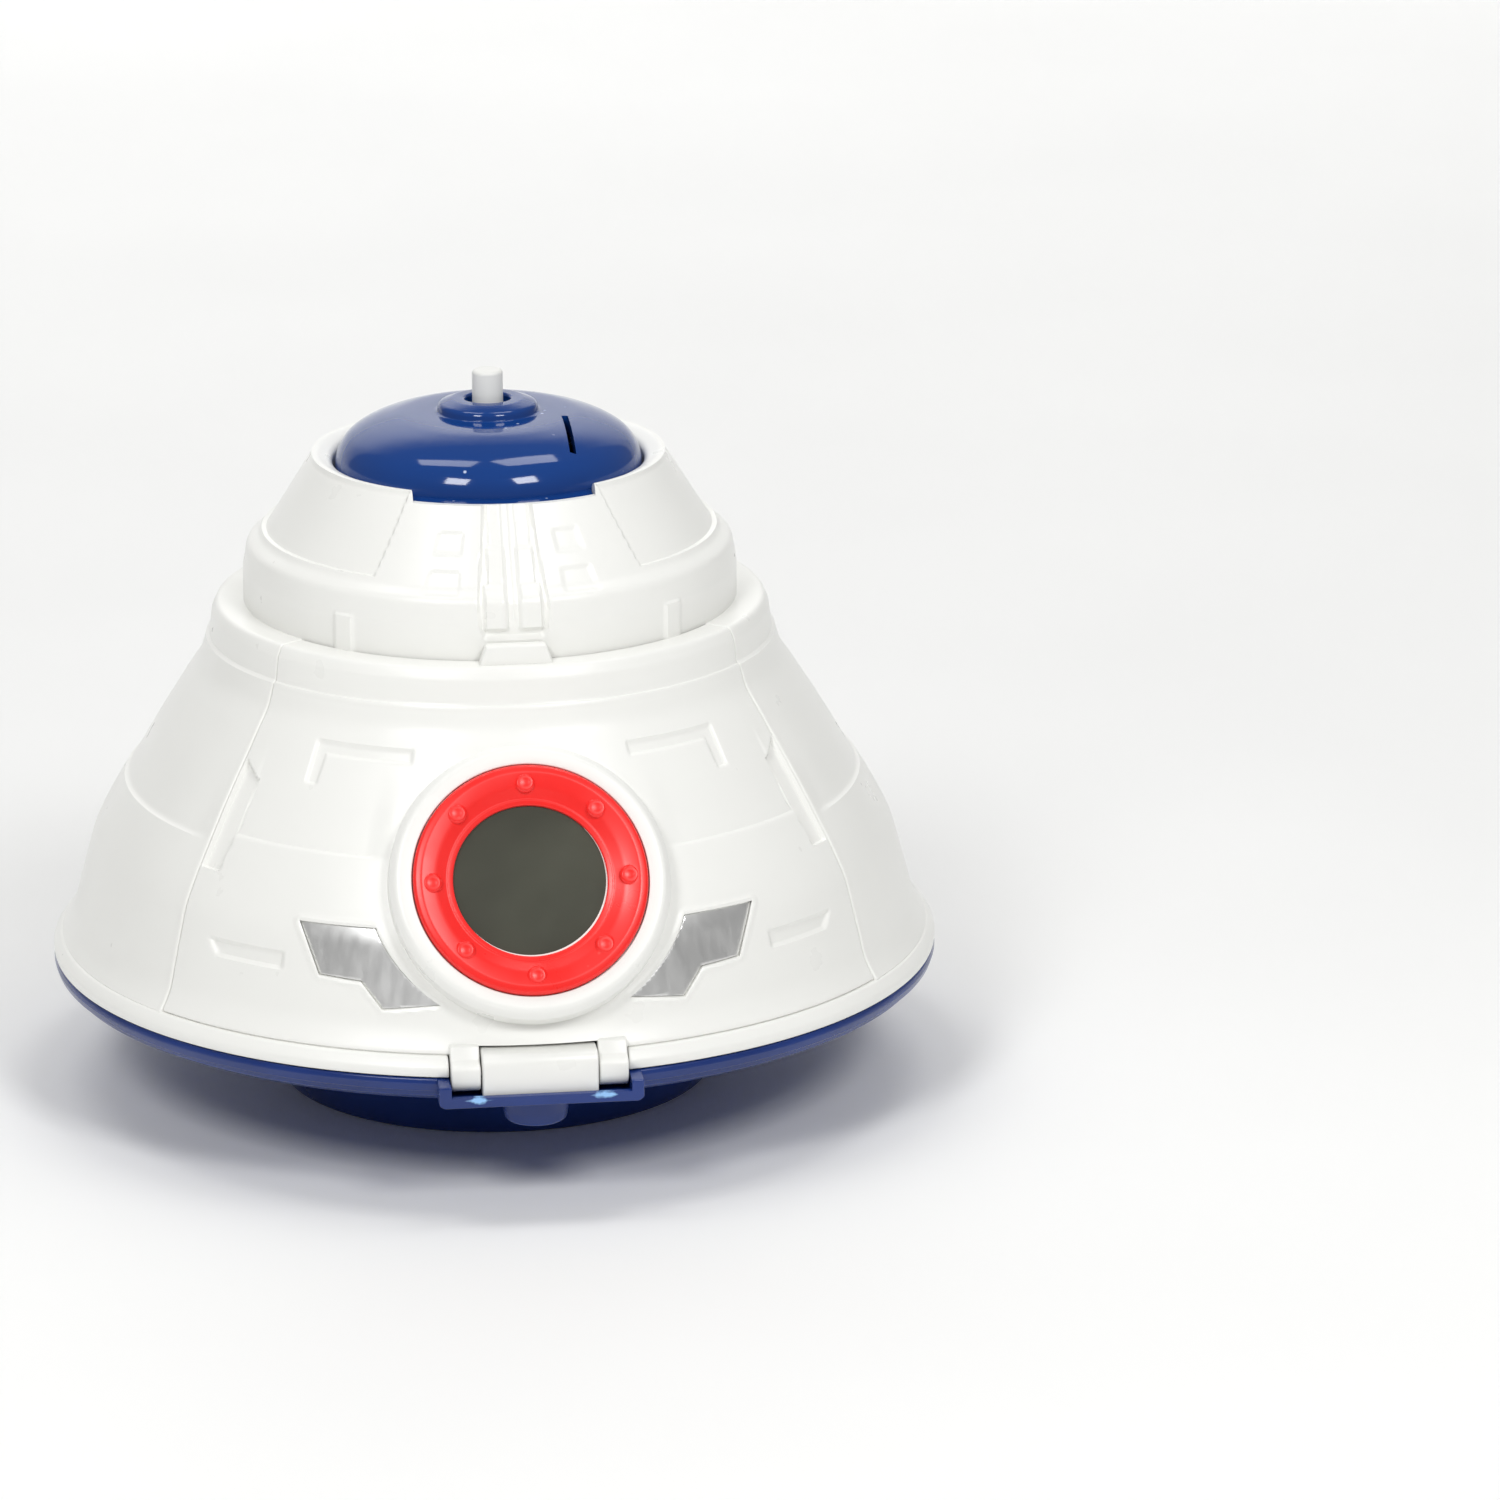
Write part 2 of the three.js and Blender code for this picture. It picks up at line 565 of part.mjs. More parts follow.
const speakerOutline = [[0, 105.3], [13.5, 105.3], [13.5, 108.3], [8, 110], [7, 110], [7, 113], [0, 113]];
add("speaker", turned(speakerOutline, 20).translate(0, speakerY, 0), BLACK());
const lampOutline = [[0, 99.6], [1.5, 100], [2.3, 101], [2.5, 102], [2.5, 106], [0, 106]];
add("led_lamp", turned(lampOutline, 12).translate(0, -27, 0), AMBER());

// ---- cabin ----
const seatScrewPlaces = [[-10, 24], [10, 24]];

function deck() {
  const plate = cylinder(DECK_RADIUS, DECK_TOP - DECK_THICKNESS, DECK_TOP, 0, 0, SIDES);
  const deckHoles = DECK_SCREW_ANGLES.flatMap((angle) => {
    const place = around(DECK_SCREW_RADIUS, angle);
    return [cylinder(HOLE_RADIUS, 15, 25, ...place), cylinder(3, DECK_TOP - 1.3, 25, ...place)];
  });
  const seatHoles = seatScrewPlaces.map(([x, y]) => cylinder(HOLE_RADIUS, 15, 25, x, y));
  return cut(solid(plate), ...deckHoles, ...seatHoles);
}

add("cabin_deck", deck(), GREY());
DECK_SCREW_ANGLES.forEach((angle, number) => {
  addScrew(`deck_screw_${number + 1}`, [...around(DECK_SCREW_RADIUS, angle), DECK_TOP - 1], 9, true);
});

// The seat is a solid wedge seen from the side, hollowed between two side bolsters.
function seat() {
  const floor = DECK_TOP + GAP;
  const side = [[5, floor], [43, floor], [52, 68], [50.5, 71], [46, 71], [30, 42], [8, 38], [5, 34]];
  const hollow = [[2, 28], [36, 31], [40, 37], [47.5, 76], [30, 76], [0, 60]];
  return cut(
    solid(prismAlongX(side, -19, 19)),
    prismAlongX(hollow, -15, 15),
    ...seatScrewPlaces.map(([x, y]) => cylinder(HOLE_RADIUS, 15, 28, x, y)),
  );
}

add("crew_seat", seat(), GREY());
seatScrewPlaces.forEach(([x, y], number) => {
  addScrew(`seat_screw_${number + 1}`, [x, y, DECK_TOP - DECK_THICKNESS - GAP], 8);
});

export default capsule;
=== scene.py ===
"""Looks of the toy space capsule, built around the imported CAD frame."""
import json
import math

import bmesh
import bpy
import numpy as np
from mathutils import Matrix, Vector


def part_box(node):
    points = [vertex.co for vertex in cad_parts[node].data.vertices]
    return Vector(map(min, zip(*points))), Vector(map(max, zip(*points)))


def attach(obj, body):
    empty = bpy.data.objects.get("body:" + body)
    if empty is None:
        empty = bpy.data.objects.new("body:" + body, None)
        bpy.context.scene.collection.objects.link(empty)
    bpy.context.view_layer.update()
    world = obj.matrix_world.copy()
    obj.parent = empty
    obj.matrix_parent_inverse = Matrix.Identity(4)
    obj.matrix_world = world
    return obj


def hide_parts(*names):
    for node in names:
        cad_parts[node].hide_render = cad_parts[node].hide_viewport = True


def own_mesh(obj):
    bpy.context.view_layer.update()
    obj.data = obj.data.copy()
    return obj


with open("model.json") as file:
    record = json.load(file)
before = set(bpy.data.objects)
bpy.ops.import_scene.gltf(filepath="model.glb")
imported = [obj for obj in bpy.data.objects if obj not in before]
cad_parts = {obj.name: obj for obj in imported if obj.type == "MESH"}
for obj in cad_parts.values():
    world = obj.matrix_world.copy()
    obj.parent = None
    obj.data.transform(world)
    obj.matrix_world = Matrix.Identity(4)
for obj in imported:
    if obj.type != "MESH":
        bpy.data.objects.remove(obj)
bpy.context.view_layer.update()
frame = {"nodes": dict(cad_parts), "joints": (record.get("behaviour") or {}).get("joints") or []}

MM = 0.001
HALF_TURN = 180.0

# ---------------------------------------------------------------- sizes from the frame, in millimetres


def node_box(name):
    """Lowest and highest corner of a CAD node, in millimetres."""
    low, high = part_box(name)
    return np.array(low) / MM, np.array(high) / MM


shell_high = node_box("main_shell")[1]
cap_low, cap_high = node_box("top_cap")
rod_low, rod_high = node_box("push_button")
block_low, block_high = node_box("hinge_block")
pin_low, pin_high = node_box("hinge_pin")
hinge_joint = next(joint for joint in frame["joints"] if joint["name"] == "hatch_hinge")

RIM_RADIUS = shell_high[0] - 0.2
NOSE_TOP = shell_high[2]
HOOP_BOTTOM = 27.6
HOOP_TOP = HOOP_BOTTOM + 4.0
COLLAR_TOP = 100.4
NOSE_RADIUS = 49.8
CAP_RADIUS = cap_high[0]
CAP_BOTTOM = cap_low[2]
BOSS_TOP = cap_high[2]
ROD_RADIUS = 3.1
ROD_TOP = rod_high[2]
BASE_TOP = 27.3
FOOT_RADIUS = 44.0
HINGE_Y = hinge_joint["pos_m"][1] / MM
HINGE_Z = hinge_joint["pos_m"][2] / MM
BLOCK_HALF = block_high[0]
SIDE_GAP = 0.3
EAR_WIDTH = 5.7
EAR_RADIUS = 3.2
EAR_INNER = BLOCK_HALF + SIDE_GAP
EAR_OUTER = EAR_INNER + EAR_WIDTH
HINGE_GAP_HALF = EAR_OUTER + SIDE_GAP
HATCH_HALF_ANGLE = 53.85
SEAM = 0.22
SIDE_SEAM = 0.13  # degrees
WALL = 2.2
PORTHOLE_CENTRE = (0.0, -75.4, 63.0)
PORTHOLE_TILT = 59.0
RING_RADIUS = 23.0
WINDOW_RADIUS = 15.1
RING_DOMES = 8
RING_DOME_CIRCLE = 19.3  # radius of the circle on which the ring's domes stand
NOTCH_HALF_WIDTH = 18.1
NOTCH_FLOOR = 128.45
TONGUE_RADIUS = 35.8
TONGUE_FLOOR = 126.1
TONGUE_TOP = 127.9
SLANT = 1.17  # length along the cone for each unit of height

# ---------------------------------------------------------------- mesh helpers


def new_object(name, verts, faces):
    """A mesh object from points in millimetres."""
    mesh = bpy.data.meshes.new(name)
    points = (np.asarray(verts, float) * MM).tolist()
    mesh.from_pydata(points, [], [tuple(int(i) for i in face) for face in faces])
    mesh.validate()
    mesh.update()
    obj = bpy.data.objects.new(name, mesh)
    bpy.context.scene.collection.objects.link(obj)
    return obj


def outward(obj):
    """Turns every face outward."""
    bm = bmesh.new()
    bm.from_mesh(obj.data)
    bmesh.ops.recalc_face_normals(bm, faces=bm.faces)
    bm.to_mesh(obj.data)
    bm.free()
    return obj


def smooth(obj, degrees=35.0):
    """Smooth shading with creases kept at sharp corners."""
    obj.data.polygons.foreach_set("use_smooth", [True] * len(obj.data.polygons))
    obj.data.set_sharp_from_angle(angle=math.radians(degrees))
    return obj


def apply_modifiers(obj):
    """Replaces the mesh by its evaluated one."""
    graph = bpy.context.evaluated_depsgraph_get()
    mesh = bpy.data.meshes.new_from_object(obj.evaluated_get(graph))
    old = obj.data
    obj.modifiers.clear()
    obj.data = mesh
    bpy.data.meshes.remove(old)
    return obj


def combine(obj, tools, operation):
    """Joins or cuts obj with other closed meshes, which are used up."""
    for tool in tools:
        modifier = obj.modifiers.new("combine", "BOOLEAN")
        modifier.operation = operation
        modifier.solver = "MANIFOLD"
        modifier.object = tool
        apply_modifiers(obj)
        bpy.data.objects.remove(tool)
    return obj


def fillet(corners, closed=True, step=12.0):
    """A polyline through [x, y, radius] corners, each rounded by an arc of its radius."""
    points = []
    count = len(corners)
    for i, (x, y, radius) in enumerate(corners):
        ends = not closed and i in (0, count - 1)
        if radius <= 0 or ends:
            points.append((x, y))
            continue
        here = np.array([x, y], float)
        before = np.array(corners[i - 1][:2], float) - here
        after = np.array(corners[(i + 1) % count][:2], float) - here
        before_length = np.linalg.norm(before)
        after_length = np.linalg.norm(after)
        before /= before_length
        after /= after_length
        angle = math.acos(max(-1.0, min(1.0, float(before @ after))))
        turn = math.pi - angle
        reach = min(radius * math.tan(turn / 2), 0.49 * before_length, 0.49 * after_length)
        arc_radius = reach / math.tan(turn / 2)
        bisector = before + after
        bisector /= np.linalg.norm(bisector)
        centre = here + bisector * (arc_radius / math.sin(angle / 2))
        start = here + before * reach - centre
        end = here + after * reach - centre
        parts = max(2, int(math.degrees(turn) / step))
        start_angle = math.atan2(start[1], start[0])
        swing = math.atan2(start[0] * end[1] - start[1] * end[0], float(start @ end))
        for part in range(parts + 1):
            direction = start_angle + swing * part / parts
            points.append(tuple(centre + arc_radius * np.array([math.cos(direction), math.sin(direction)])))
    return points


def turned(name, outline, segments=192):
    """A body turned about Z from a closed outline of (radius, height), or one that ends on the axis."""
    rings = []
    verts = []
    for radius, height in outline:
        if radius < 1e-6:
            rings.append([len(verts)])
            verts.append((0.0, 0.0, height))
        else:
            angles = 2 * math.pi * np.arange(segments) / segments
            rings.append(list(range(len(verts), len(verts) + segments)))
            verts.extend(zip(radius * np.sin(angles), -radius * np.cos(angles), [height] * segments))
    on_axis = len(rings[0]) == 1 and len(rings[-1]) == 1
    pairs = list(zip(rings, rings[1:])) + ([] if on_axis else [(rings[-1], rings[0])])
    faces = []
    for low, high in pairs:
        for i in range(segments):
            j = (i + 1) % segments
            if len(low) == 1 and len(high) == 1:
                continue
            if len(low) == 1:
                faces.append((low[0], high[j], high[i]))
            elif len(high) == 1:
                faces.append((low[i], low[j], high[0]))
            else:
                faces.append((low[i], low[j], high[j], high[i]))
    return outward(new_object(name, verts, faces))


def prism(name, outline, low, high, axis="z"):
    """A prism with a 2D outline, along x, y or z. The outline is in the other two axes, in order."""
    count = len(outline)
    verts = []
    for level in (low, high):
        for a, b in outline:
            verts.append({"x": (level, a, b), "y": (a, level, b), "z": (a, b, level)}[axis])
    faces = [tuple(range(count)), tuple(range(count, 2 * count))]
    for i in range(count):
        j = (i + 1) % count
        faces.append((i, j, j + count, i + count))
    return outward(new_object(name, verts, faces))


def block(name, low, high, radius=0.4, segments=3):
    """A box with rounded edges."""
    outline = [(low[0], low[1]), (high[0], low[1]), (high[0], high[1]), (low[0], high[1])]
    obj = prism(name, outline, low[2], high[2])
    return bevelled(obj, radius, segments)


def bevelled(obj, radius, segments=3, angle=30.0):
    """Rounds the edges that are sharper than an angle."""
    if radius > 0:
        modifier = obj.modifiers.new("edges", "BEVEL")
        modifier.width = radius * MM
        modifier.segments = segments
        modifier.limit_method = "ANGLE"
        modifier.angle_limit = math.radians(angle)
        modifier.harden_normals = False
        apply_modifiers(obj)
    return obj


def moved(obj, matrix):
    """Moves the mesh itself by a matrix in millimetres."""
    scale = Matrix.Scale(MM, 4)
    obj.data.transform(scale @ matrix @ scale.inverted())
    return obj


# ---------------------------------------------------------------- moulded shells with relief


def resample(points, step):
    """Points along a polyline at about equal steps."""
    points = np.asarray(points, float)
    lengths = np.r_[0, np.cumsum(np.linalg.norm(np.diff(points, axis=0), axis=1))]
    count = max(2, int(math.ceil(lengths[-1] / step)) + 1)
    at = np.linspace(0, lengths[-1], count)
    return np.c_[np.interp(at, lengths, points[:, 0]), np.interp(at, lengths, points[:, 1])]


def edge_steps(length, step):
    """Places along a length, close together at both ends where an edge is rounded."""
    fine = [0.0, 0.06, 0.16, 0.3, 0.5]
    middle = np.linspace(0.8, length - 0.8, max(2, int(length / step)))
    return np.r_[fine, middle, [length - value for value in reversed(fine)]]


def edge_round(distance, radius=0.45):
    """How far a rounded edge falls away at a distance from it."""
    inside = np.clip(radius - distance, 0, radius)
    return radius - np.sqrt(np.maximum(radius**2 - inside**2, 0))


def profile_normals(profile):
    """Outward unit normals along a profile of (radius, height) that runs upwards."""
    tangent = np.gradient(profile, axis=0)
    normal = np.c_[tangent[:, 1], -tangent[:, 0]]
    return normal / np.linalg.norm(normal, axis=1)[:, None]


def polygon_distance(x, y, corners):
    """Signed distance to a polygon, negative inside."""
    corners = np.asarray(corners, float)
    best = np.full(x.shape, 1e9)
    inside = np.zeros(x.shape, bool)
    for (ax, ay), (bx, by) in zip(corners, np.roll(corners, -1, axis=0)):
        ex, ey = bx - ax, by - ay
        t = np.clip(((x - ax) * ex + (y - ay) * ey) / (ex * ex + ey * ey), 0, 1)
        best = np.minimum(best, np.hypot(x - ax - t * ex, y - ay - t * ey))
        crossing = (ay > y) != (by > y)
        slope = np.where(abs(ey) > 1e-12, ey, 1e-12)
        inside ^= crossing & (x < ax + (y - ay) * ex / slope)
    return np.where(inside, -best, best)


def ramp(value, low, high):
    """Smooth step from 0 at low to 1 at high."""
    t = np.clip((value - low) / (high - low), 0, 1)
    return t * t * (3 - 2 * t)


class Relief:
    """Moulded relief on a turned surface. Angles are degrees from the front, sides alike."""

    def __init__(self, theta, radius, height):
        self.angle = np.abs(theta)
        self.radius = radius
        self.height = height
        self.offset = np.zeros(theta.shape)

    def polygon(self, corners, depth, soft=0.7, rear=False):
        """Sinks (or raises, if depth is negative) an outline of (degrees, height)."""
        angle = HALF_TURN - self.angle if rear else self.angle
        heights = [height for _, height in corners]
        middle = float(np.mean(heights))
        near = np.abs(self.height - middle) < (max(heights) - min(heights)) / 2 + 3
        size = float(np.mean(self.radius[near])) if near.any() else 1.0
        x = np.radians(angle) * size
        y = self.height * SLANT
        flat = [(math.radians(degrees) * size, height * SLANT) for degrees, height in corners]
        distance = np.full(x.shape, 9.0)
        distance[near] = polygon_distance(x[near], y[near], flat)
        self.offset -= depth * (1 - ramp(distance, -soft / 2, soft / 2))


    def ledge(self, bottom, start, end, depth, rear=False):
        """A step inwards above a height, from one angle to another, that fades out further up."""
        angle = HALF_TURN - self.angle if rear else self.angle
        up = ramp(self.height, bottom - 0.3, bottom + 0.3) * (1 - ramp(self.height, bottom + 2, bottom + 18))
        along = ramp(angle, start - 0.5, start + 4) * (1 - ramp(angle, end - 0.3, end + 0.3))
        self.offset -= depth * up * along


def shell(name, profile, columns, relief, wall=WALL, closed=False, coarse=6):
    """A shell with a finely moulded outer face and a plain, coarser inner face.

    profile is (radius, height) up the outside, columns are angles in degrees from the front,
    relief(theta, radius, height) gives the outer face's offset in millimetres.
    """
    profile = np.asarray(profile, float)
    columns = np.asarray(columns, float)
    normals = profile_normals(profile)
    theta, row = np.meshgrid(columns, np.arange(len(profile)))
    radius = profile[row, 0]
    height = profile[row, 1]
    offset = relief(theta, radius, height)
    out_r = radius + normals[row, 0] * offset
    out_z = height + normals[row, 1] * offset
    angle = np.radians(theta)
    outer = np.stack([out_r * np.sin(angle), -out_r * np.cos(angle), out_z], axis=-1)

    rows_in = sorted(set(list(range(0, len(profile), coarse)) + [len(profile) - 1]))
    last = len(columns) if closed else len(columns) - 1
    cols_in = sorted(set(list(range(0, last, coarse)) + ([] if closed else [last])))
    theta_in, row_in = np.meshgrid(columns[cols_in], rows_in)
    in_r = profile[row_in, 0] - normals[row_in, 0] * wall
    in_z = profile[row_in, 1] - normals[row_in, 1] * wall
    angle_in = np.radians(theta_in)
    inner = np.stack([in_r * np.sin(angle_in), -in_r * np.cos(angle_in), in_z], axis=-1)

    verts = np.concatenate([outer.reshape(-1, 3), inner.reshape(-1, 3)])
    wide = len(columns)
    base = outer.shape[0] * wide
    wide_in = len(cols_in)

    def out_id(i, j):
        return i * wide + j % wide

    def in_id(i, j):
        return base + i * wide_in + j % wide_in

    faces = []
    spans = wide if closed else wide - 1
    for i in range(outer.shape[0] - 1):
        faces.extend((out_id(i, j), out_id(i, j + 1), out_id(i + 1, j + 1), out_id(i + 1, j))
                     for j in range(spans))
    spans_in = wide_in if closed else wide_in - 1
    for i in range(len(rows_in) - 1):
        faces.extend((in_id(i, j), in_id(i + 1, j), in_id(i + 1, j + 1), in_id(i, j + 1))
                     for j in range(spans_in))
    for edge_out, edge_in in ((0, 0), (outer.shape[0] - 1, len(rows_in) - 1)):
        for j in range(spans_in):
            start = cols_in[j]
            stop = cols_in[j + 1] if j + 1 < wide_in else wide
            fine = [out_id(edge_out, column) for column in range(start, stop + 1)]
            faces.extend(zip_faces(fine, in_id(edge_in, j), in_id(edge_in, j + 1)))
    if not closed:
        for column, column_in in ((0, 0), (wide - 1, wide_in - 1)):
            for i in range(len(rows_in) - 1):
                fine = [out_id(row_at, column) for row_at in range(rows_in[i], rows_in[i + 1] + 1)]
                faces.extend(zip_faces(fine, in_id(i, column_in), in_id(i + 1, column_in)))
    return outward(new_object(name, verts, faces))


def zip_faces(fine, first, second):
    """Faces between a fine row of points and one coarse edge."""
    half = len(fine) // 2
    faces = [(fine[k], fine[k + 1], first) for k in range(half)]
    faces.append((fine[half], second, first))
    faces.extend((fine[k], fine[k + 1], second) for k in range(half, len(fine) - 1))
    return faces


# ---------------------------------------------------------------- materials


def srgb(red, green, blue):
    """A linear colour from display values of 0 to 255."""
    def linear(value):
        value /= 255
        return value / 12.92 if value <= 0.04045 else ((value + 0.055) / 1.055) ** 2.4
    return (linear(red), linear(green), linear(blue), 1.0)


class Nodes:
    """A small builder for a material's node tree."""

    def __init__(self, name):
        self.material = bpy.data.materials.new(name)
        self.material.use_nodes = True
        self.tree = self.material.node_tree
        self.tree.nodes.clear()
        self.shader = self.tree.nodes.new("ShaderNodeBsdfPrincipled")
        output = self.tree.nodes.new("ShaderNodeOutputMaterial")
        self.link(self.shader.outputs[0], output.inputs["Surface"])
        self.place = self.tree.nodes.new("ShaderNodeTexCoord").outputs["Object"]

    def link(self, source, target):
        self.tree.links.new(source, target)

    def set(self, **values):
        for key, value in values.items():
            self.shader.inputs[key.replace("_", " ")].default_value = value

    def noise(self, scale, detail=3.0, roughness=0.5, stretch=(1, 1, 1)):
        mapping = self.tree.nodes.new("ShaderNodeMapping")
        mapping.inputs["Scale"].default_value = stretch
        self.link(self.place, mapping.inputs["Vector"])
        node = self.tree.nodes.new("ShaderNodeTexNoise")
        node.inputs["Scale"].default_value = scale
        node.inputs["Detail"].default_value = detail
        node.inputs["Roughness"].default_value = roughness
        self.link(mapping.outputs[0], node.inputs["Vector"])
        return node.outputs["Fac"]

    def spots(self, scale, randomness=1.0):
        node = self.tree.nodes.new("ShaderNodeTexVoronoi")
        node.inputs["Scale"].default_value = scale
        node.inputs["Randomness"].default_value = randomness
        self.link(self.place, node.inputs["Vector"])
        return node.outputs["Distance"]

    def ramp(self, source, stops):
        node = self.tree.nodes.new("ShaderNodeValToRGB")
        elements = node.color_ramp.elements
        while len(elements) < len(stops):
            elements.new(0.5)
        for element, (at, colour) in zip(elements, stops):
            element.position = at
            value = colour if isinstance(colour, (tuple, list)) else (colour, colour, colour, 1.0)
            element.color = value
        self.link(source, node.inputs["Fac"])
        return node.outputs["Color"]

    def math(self, operation, first, second):
        node = self.tree.nodes.new("ShaderNodeMath")
        node.operation = operation
        for socket, value in zip(node.inputs, (first, second)):
            if isinstance(value, (int, float)):
                socket.default_value = value
            else:
                self.link(value, socket)
        return node.outputs[0]

    def mix(self, factor, first, second):
        node = self.tree.nodes.new("ShaderNodeMix")
        node.data_type = "RGBA"
        for socket, value in zip((node.inputs[0], node.inputs[6], node.inputs[7]), (factor, first, second)):
            if isinstance(value, (int, float, tuple, list)):
                socket.default_value = value
            else:
                self.link(value, socket)
        return node.outputs[2]

    def bump(self, height, strength, distance=0.1):
        node = self.tree.nodes.new("ShaderNodeBump")
        node.inputs["Strength"].default_value = strength
        node.inputs["Distance"].default_value = distance * MM
        self.link(height, node.inputs["Height"])
        self.link(node.outputs[0], self.shader.inputs["Normal"])
        return node


def plastic(name, colour, roughness, dust=0.0, dust_colour=(0.8, 0.8, 0.8, 1), tone=0.03, wave=0.05):
    """Injection-moulded plastic: a slightly uneven gloss, fine flow waves and a few specks."""
    nodes = Nodes(name)
    deep = tuple(channel * (1 - tone) for channel in colour[:3]) + (1.0,)
    shade = nodes.ramp(nodes.noise(38, 2), [(0.35, deep), (0.65, colour)])
    if dust > 0:
        speck = nodes.ramp(nodes.spots(300), [(0.06, 1.0), (0.12, 0.0)])
        rare = nodes.ramp(nodes.noise(90, 2), [(0.55, 0.0), (0.6, 1.0)])
        factor = nodes.math("MULTIPLY", nodes.math("MULTIPLY", speck, rare), dust)
        shade = nodes.mix(factor, shade, dust_colour)
    nodes.link(shade, nodes.shader.inputs["Base Color"])
    gloss = nodes.ramp(nodes.noise(90, 4), [(0.3, roughness * 0.85), (0.7, roughness * 1.2)])
    nodes.link(gloss, nodes.shader.inputs["Roughness"])
    nodes.bump(nodes.noise(260, 3), wave, 0.05)
    return nodes.material


white_plastic = plastic("white_moulding", srgb(244, 244, 240), 0.32, tone=0.012)
white_plastic_rod = plastic("rod_moulding", srgb(236, 236, 232), 0.38, tone=0.02)
blue_plastic = plastic("blue_moulding", srgb(18, 61, 131), 0.07, dust=0.9, dust_colour=srgb(200, 212, 238))
red_plastic = plastic("red_moulding", srgb(250, 38, 34), 0.3, dust=0.15, dust_colour=srgb(255, 150, 140))


def rim_blue():
    """The base's blue moulding, with whitened stress marks beside the hinge block."""
    nodes = Nodes("blue_base_moulding")
    colour = srgb(27, 55, 125)
    deep = srgb(23, 48, 112)
    shade = nodes.ramp(nodes.noise(38, 2), [(0.35, deep), (0.65, colour)])
    split = nodes.tree.nodes.new("ShaderNodeSeparateXYZ")
    nodes.link(nodes.place, split.inputs[0])
    side = nodes.math("ABSOLUTE", split.outputs["X"], 0.0)
    across = nodes.math("ABSOLUTE", nodes.math("SUBTRACT", side, 12.2 * MM), 0.0)
    down = nodes.math("ABSOLUTE", nodes.math("SUBTRACT", split.outputs["Z"], 24.5 * MM), 0.0)
    near = nodes.math("ADD", nodes.math("MULTIPLY", across, 0.36), down)
    ragged = nodes.math("MULTIPLY", nodes.noise(620, 4), 1.5 * MM)
    reach = nodes.math("ADD", near, ragged)
    front = nodes.math("LESS_THAN", split.outputs["Y"], -91.6 * MM)
    mark = nodes.ramp(nodes.math("MULTIPLY", reach, 0.5 / MM), [(0.62, 1.0), (0.9, 0.0)])
    stress = nodes.math("MULTIPLY", mark, front)
    nodes.link(nodes.mix(stress, shade, srgb(150, 200, 250)), nodes.shader.inputs["Base Color"])
    gloss = nodes.ramp(nodes.noise(90, 4), [(0.3, 0.18), (0.7, 0.27)])
    nodes.link(gloss, nodes.shader.inputs["Roughness"])
    nodes.bump(nodes.noise(260, 3), 0.05, 0.05)
    return nodes.material


def silver_foil():
    """Hot-stamped silver: satin, with soft clouds and faint drawn marks."""
    nodes = Nodes("silver_foil")
    nodes.set(Metallic=0.92)
    cloud = nodes.noise(60, 3)
    shade = nodes.ramp(cloud, [(0.3, srgb(226, 226, 225)), (0.7, srgb(244, 244, 243))])
    nodes.link(shade, nodes.shader.inputs["Base Color"])
    marks = nodes.noise(500, 3, 0.5, (1, 1, 0.2))
    nodes.link(nodes.ramp(marks, [(0.3, 0.3), (0.7, 0.38)]), nodes.shader.inputs["Roughness"])
    nodes.bump(cloud, 0.05, 0.03)
    return nodes.material


def metal(name, colour, roughness, stretch=(1, 1, 1)):
    """Zinc- or nickel-plated steel with fine drawn marks."""
    nodes = Nodes(name)
    nodes.set(Metallic=1.0)
    marks = nodes.noise(900, 3, 0.6, stretch)
    deep = tuple(channel * 0.75 for channel in colour[:3]) + (1.0,)
    nodes.link(nodes.ramp(marks, [(0.3, deep), (0.7, colour)]), nodes.shader.inputs["Base Color"])
    nodes.link(nodes.ramp(marks, [(0.3, roughness * 0.7), (0.7, roughness * 1.3)]),
               nodes.shader.inputs["Roughness"])
    nodes.bump(marks, 0.1, 0.02)
    return nodes.material


def lens_with_painted_shade():
    """Nearly opaque dark olive-grey window, with faint flow clouds and dust: its colour is partly a smoke
    tint and partly painted shade of the dark cabin behind it.
    """
    nodes = Nodes("lens_with_painted_shade")
    # painted shade: the dark olive-grey stands partly for the shaded cabin seen through the window and partly
    # for the smoke tint
    shade = nodes.ramp(nodes.noise(45, 2), [(0.3, srgb(66, 67, 59)), (0.7, srgb(80, 81, 71))])
    nodes.link(shade, nodes.shader.inputs["Base Color"])
    nodes.set(IOR=1.5)
    nodes.link(nodes.ramp(nodes.noise(200, 4), [(0.3, 0.05), (0.7, 0.12)]), nodes.shader.inputs["Roughness"])
    nodes.bump(nodes.noise(150, 2), 0.03, 0.03)
    return nodes.material


def circuit_board():
    """Green solder mask with a lighter track pattern."""
    nodes = Nodes("circuit_board")
    tracks = nodes.ramp(nodes.spots(420, 0.4), [(0.46, srgb(20, 92, 48)), (0.5, srgb(38, 128, 70))])
    nodes.link(tracks, nodes.shader.inputs["Base Color"])
    nodes.link(nodes.ramp(nodes.noise(500, 3), [(0.3, 0.3), (0.7, 0.5)]), nodes.shader.inputs["Roughness"])
    nodes.bump(nodes.spots(420, 0.4), 0.2, 0.05)
    return nodes.material


grey_plastic = plastic("grey_moulding", srgb(150, 158, 168), 0.45, tone=0.05, wave=0.35)
black_plastic = plastic("black_moulding", srgb(28, 28, 30), 0.4, dust=0.3, tone=0.1)
lamp_plastic = plastic("lamp_body", srgb(255, 226, 170), 0.15)
zinc = metal("zinc_plate", srgb(188, 190, 194), 0.32)
nickel = metal("nickel_strip", srgb(200, 198, 190), 0.25)
cell_can = metal("cell_can", srgb(206, 206, 204), 0.2, (1, 1, 6))
silver = silver_foil()
lens_material = lens_with_painted_shade()
board_material = circuit_board()
base_blue = rim_blue()


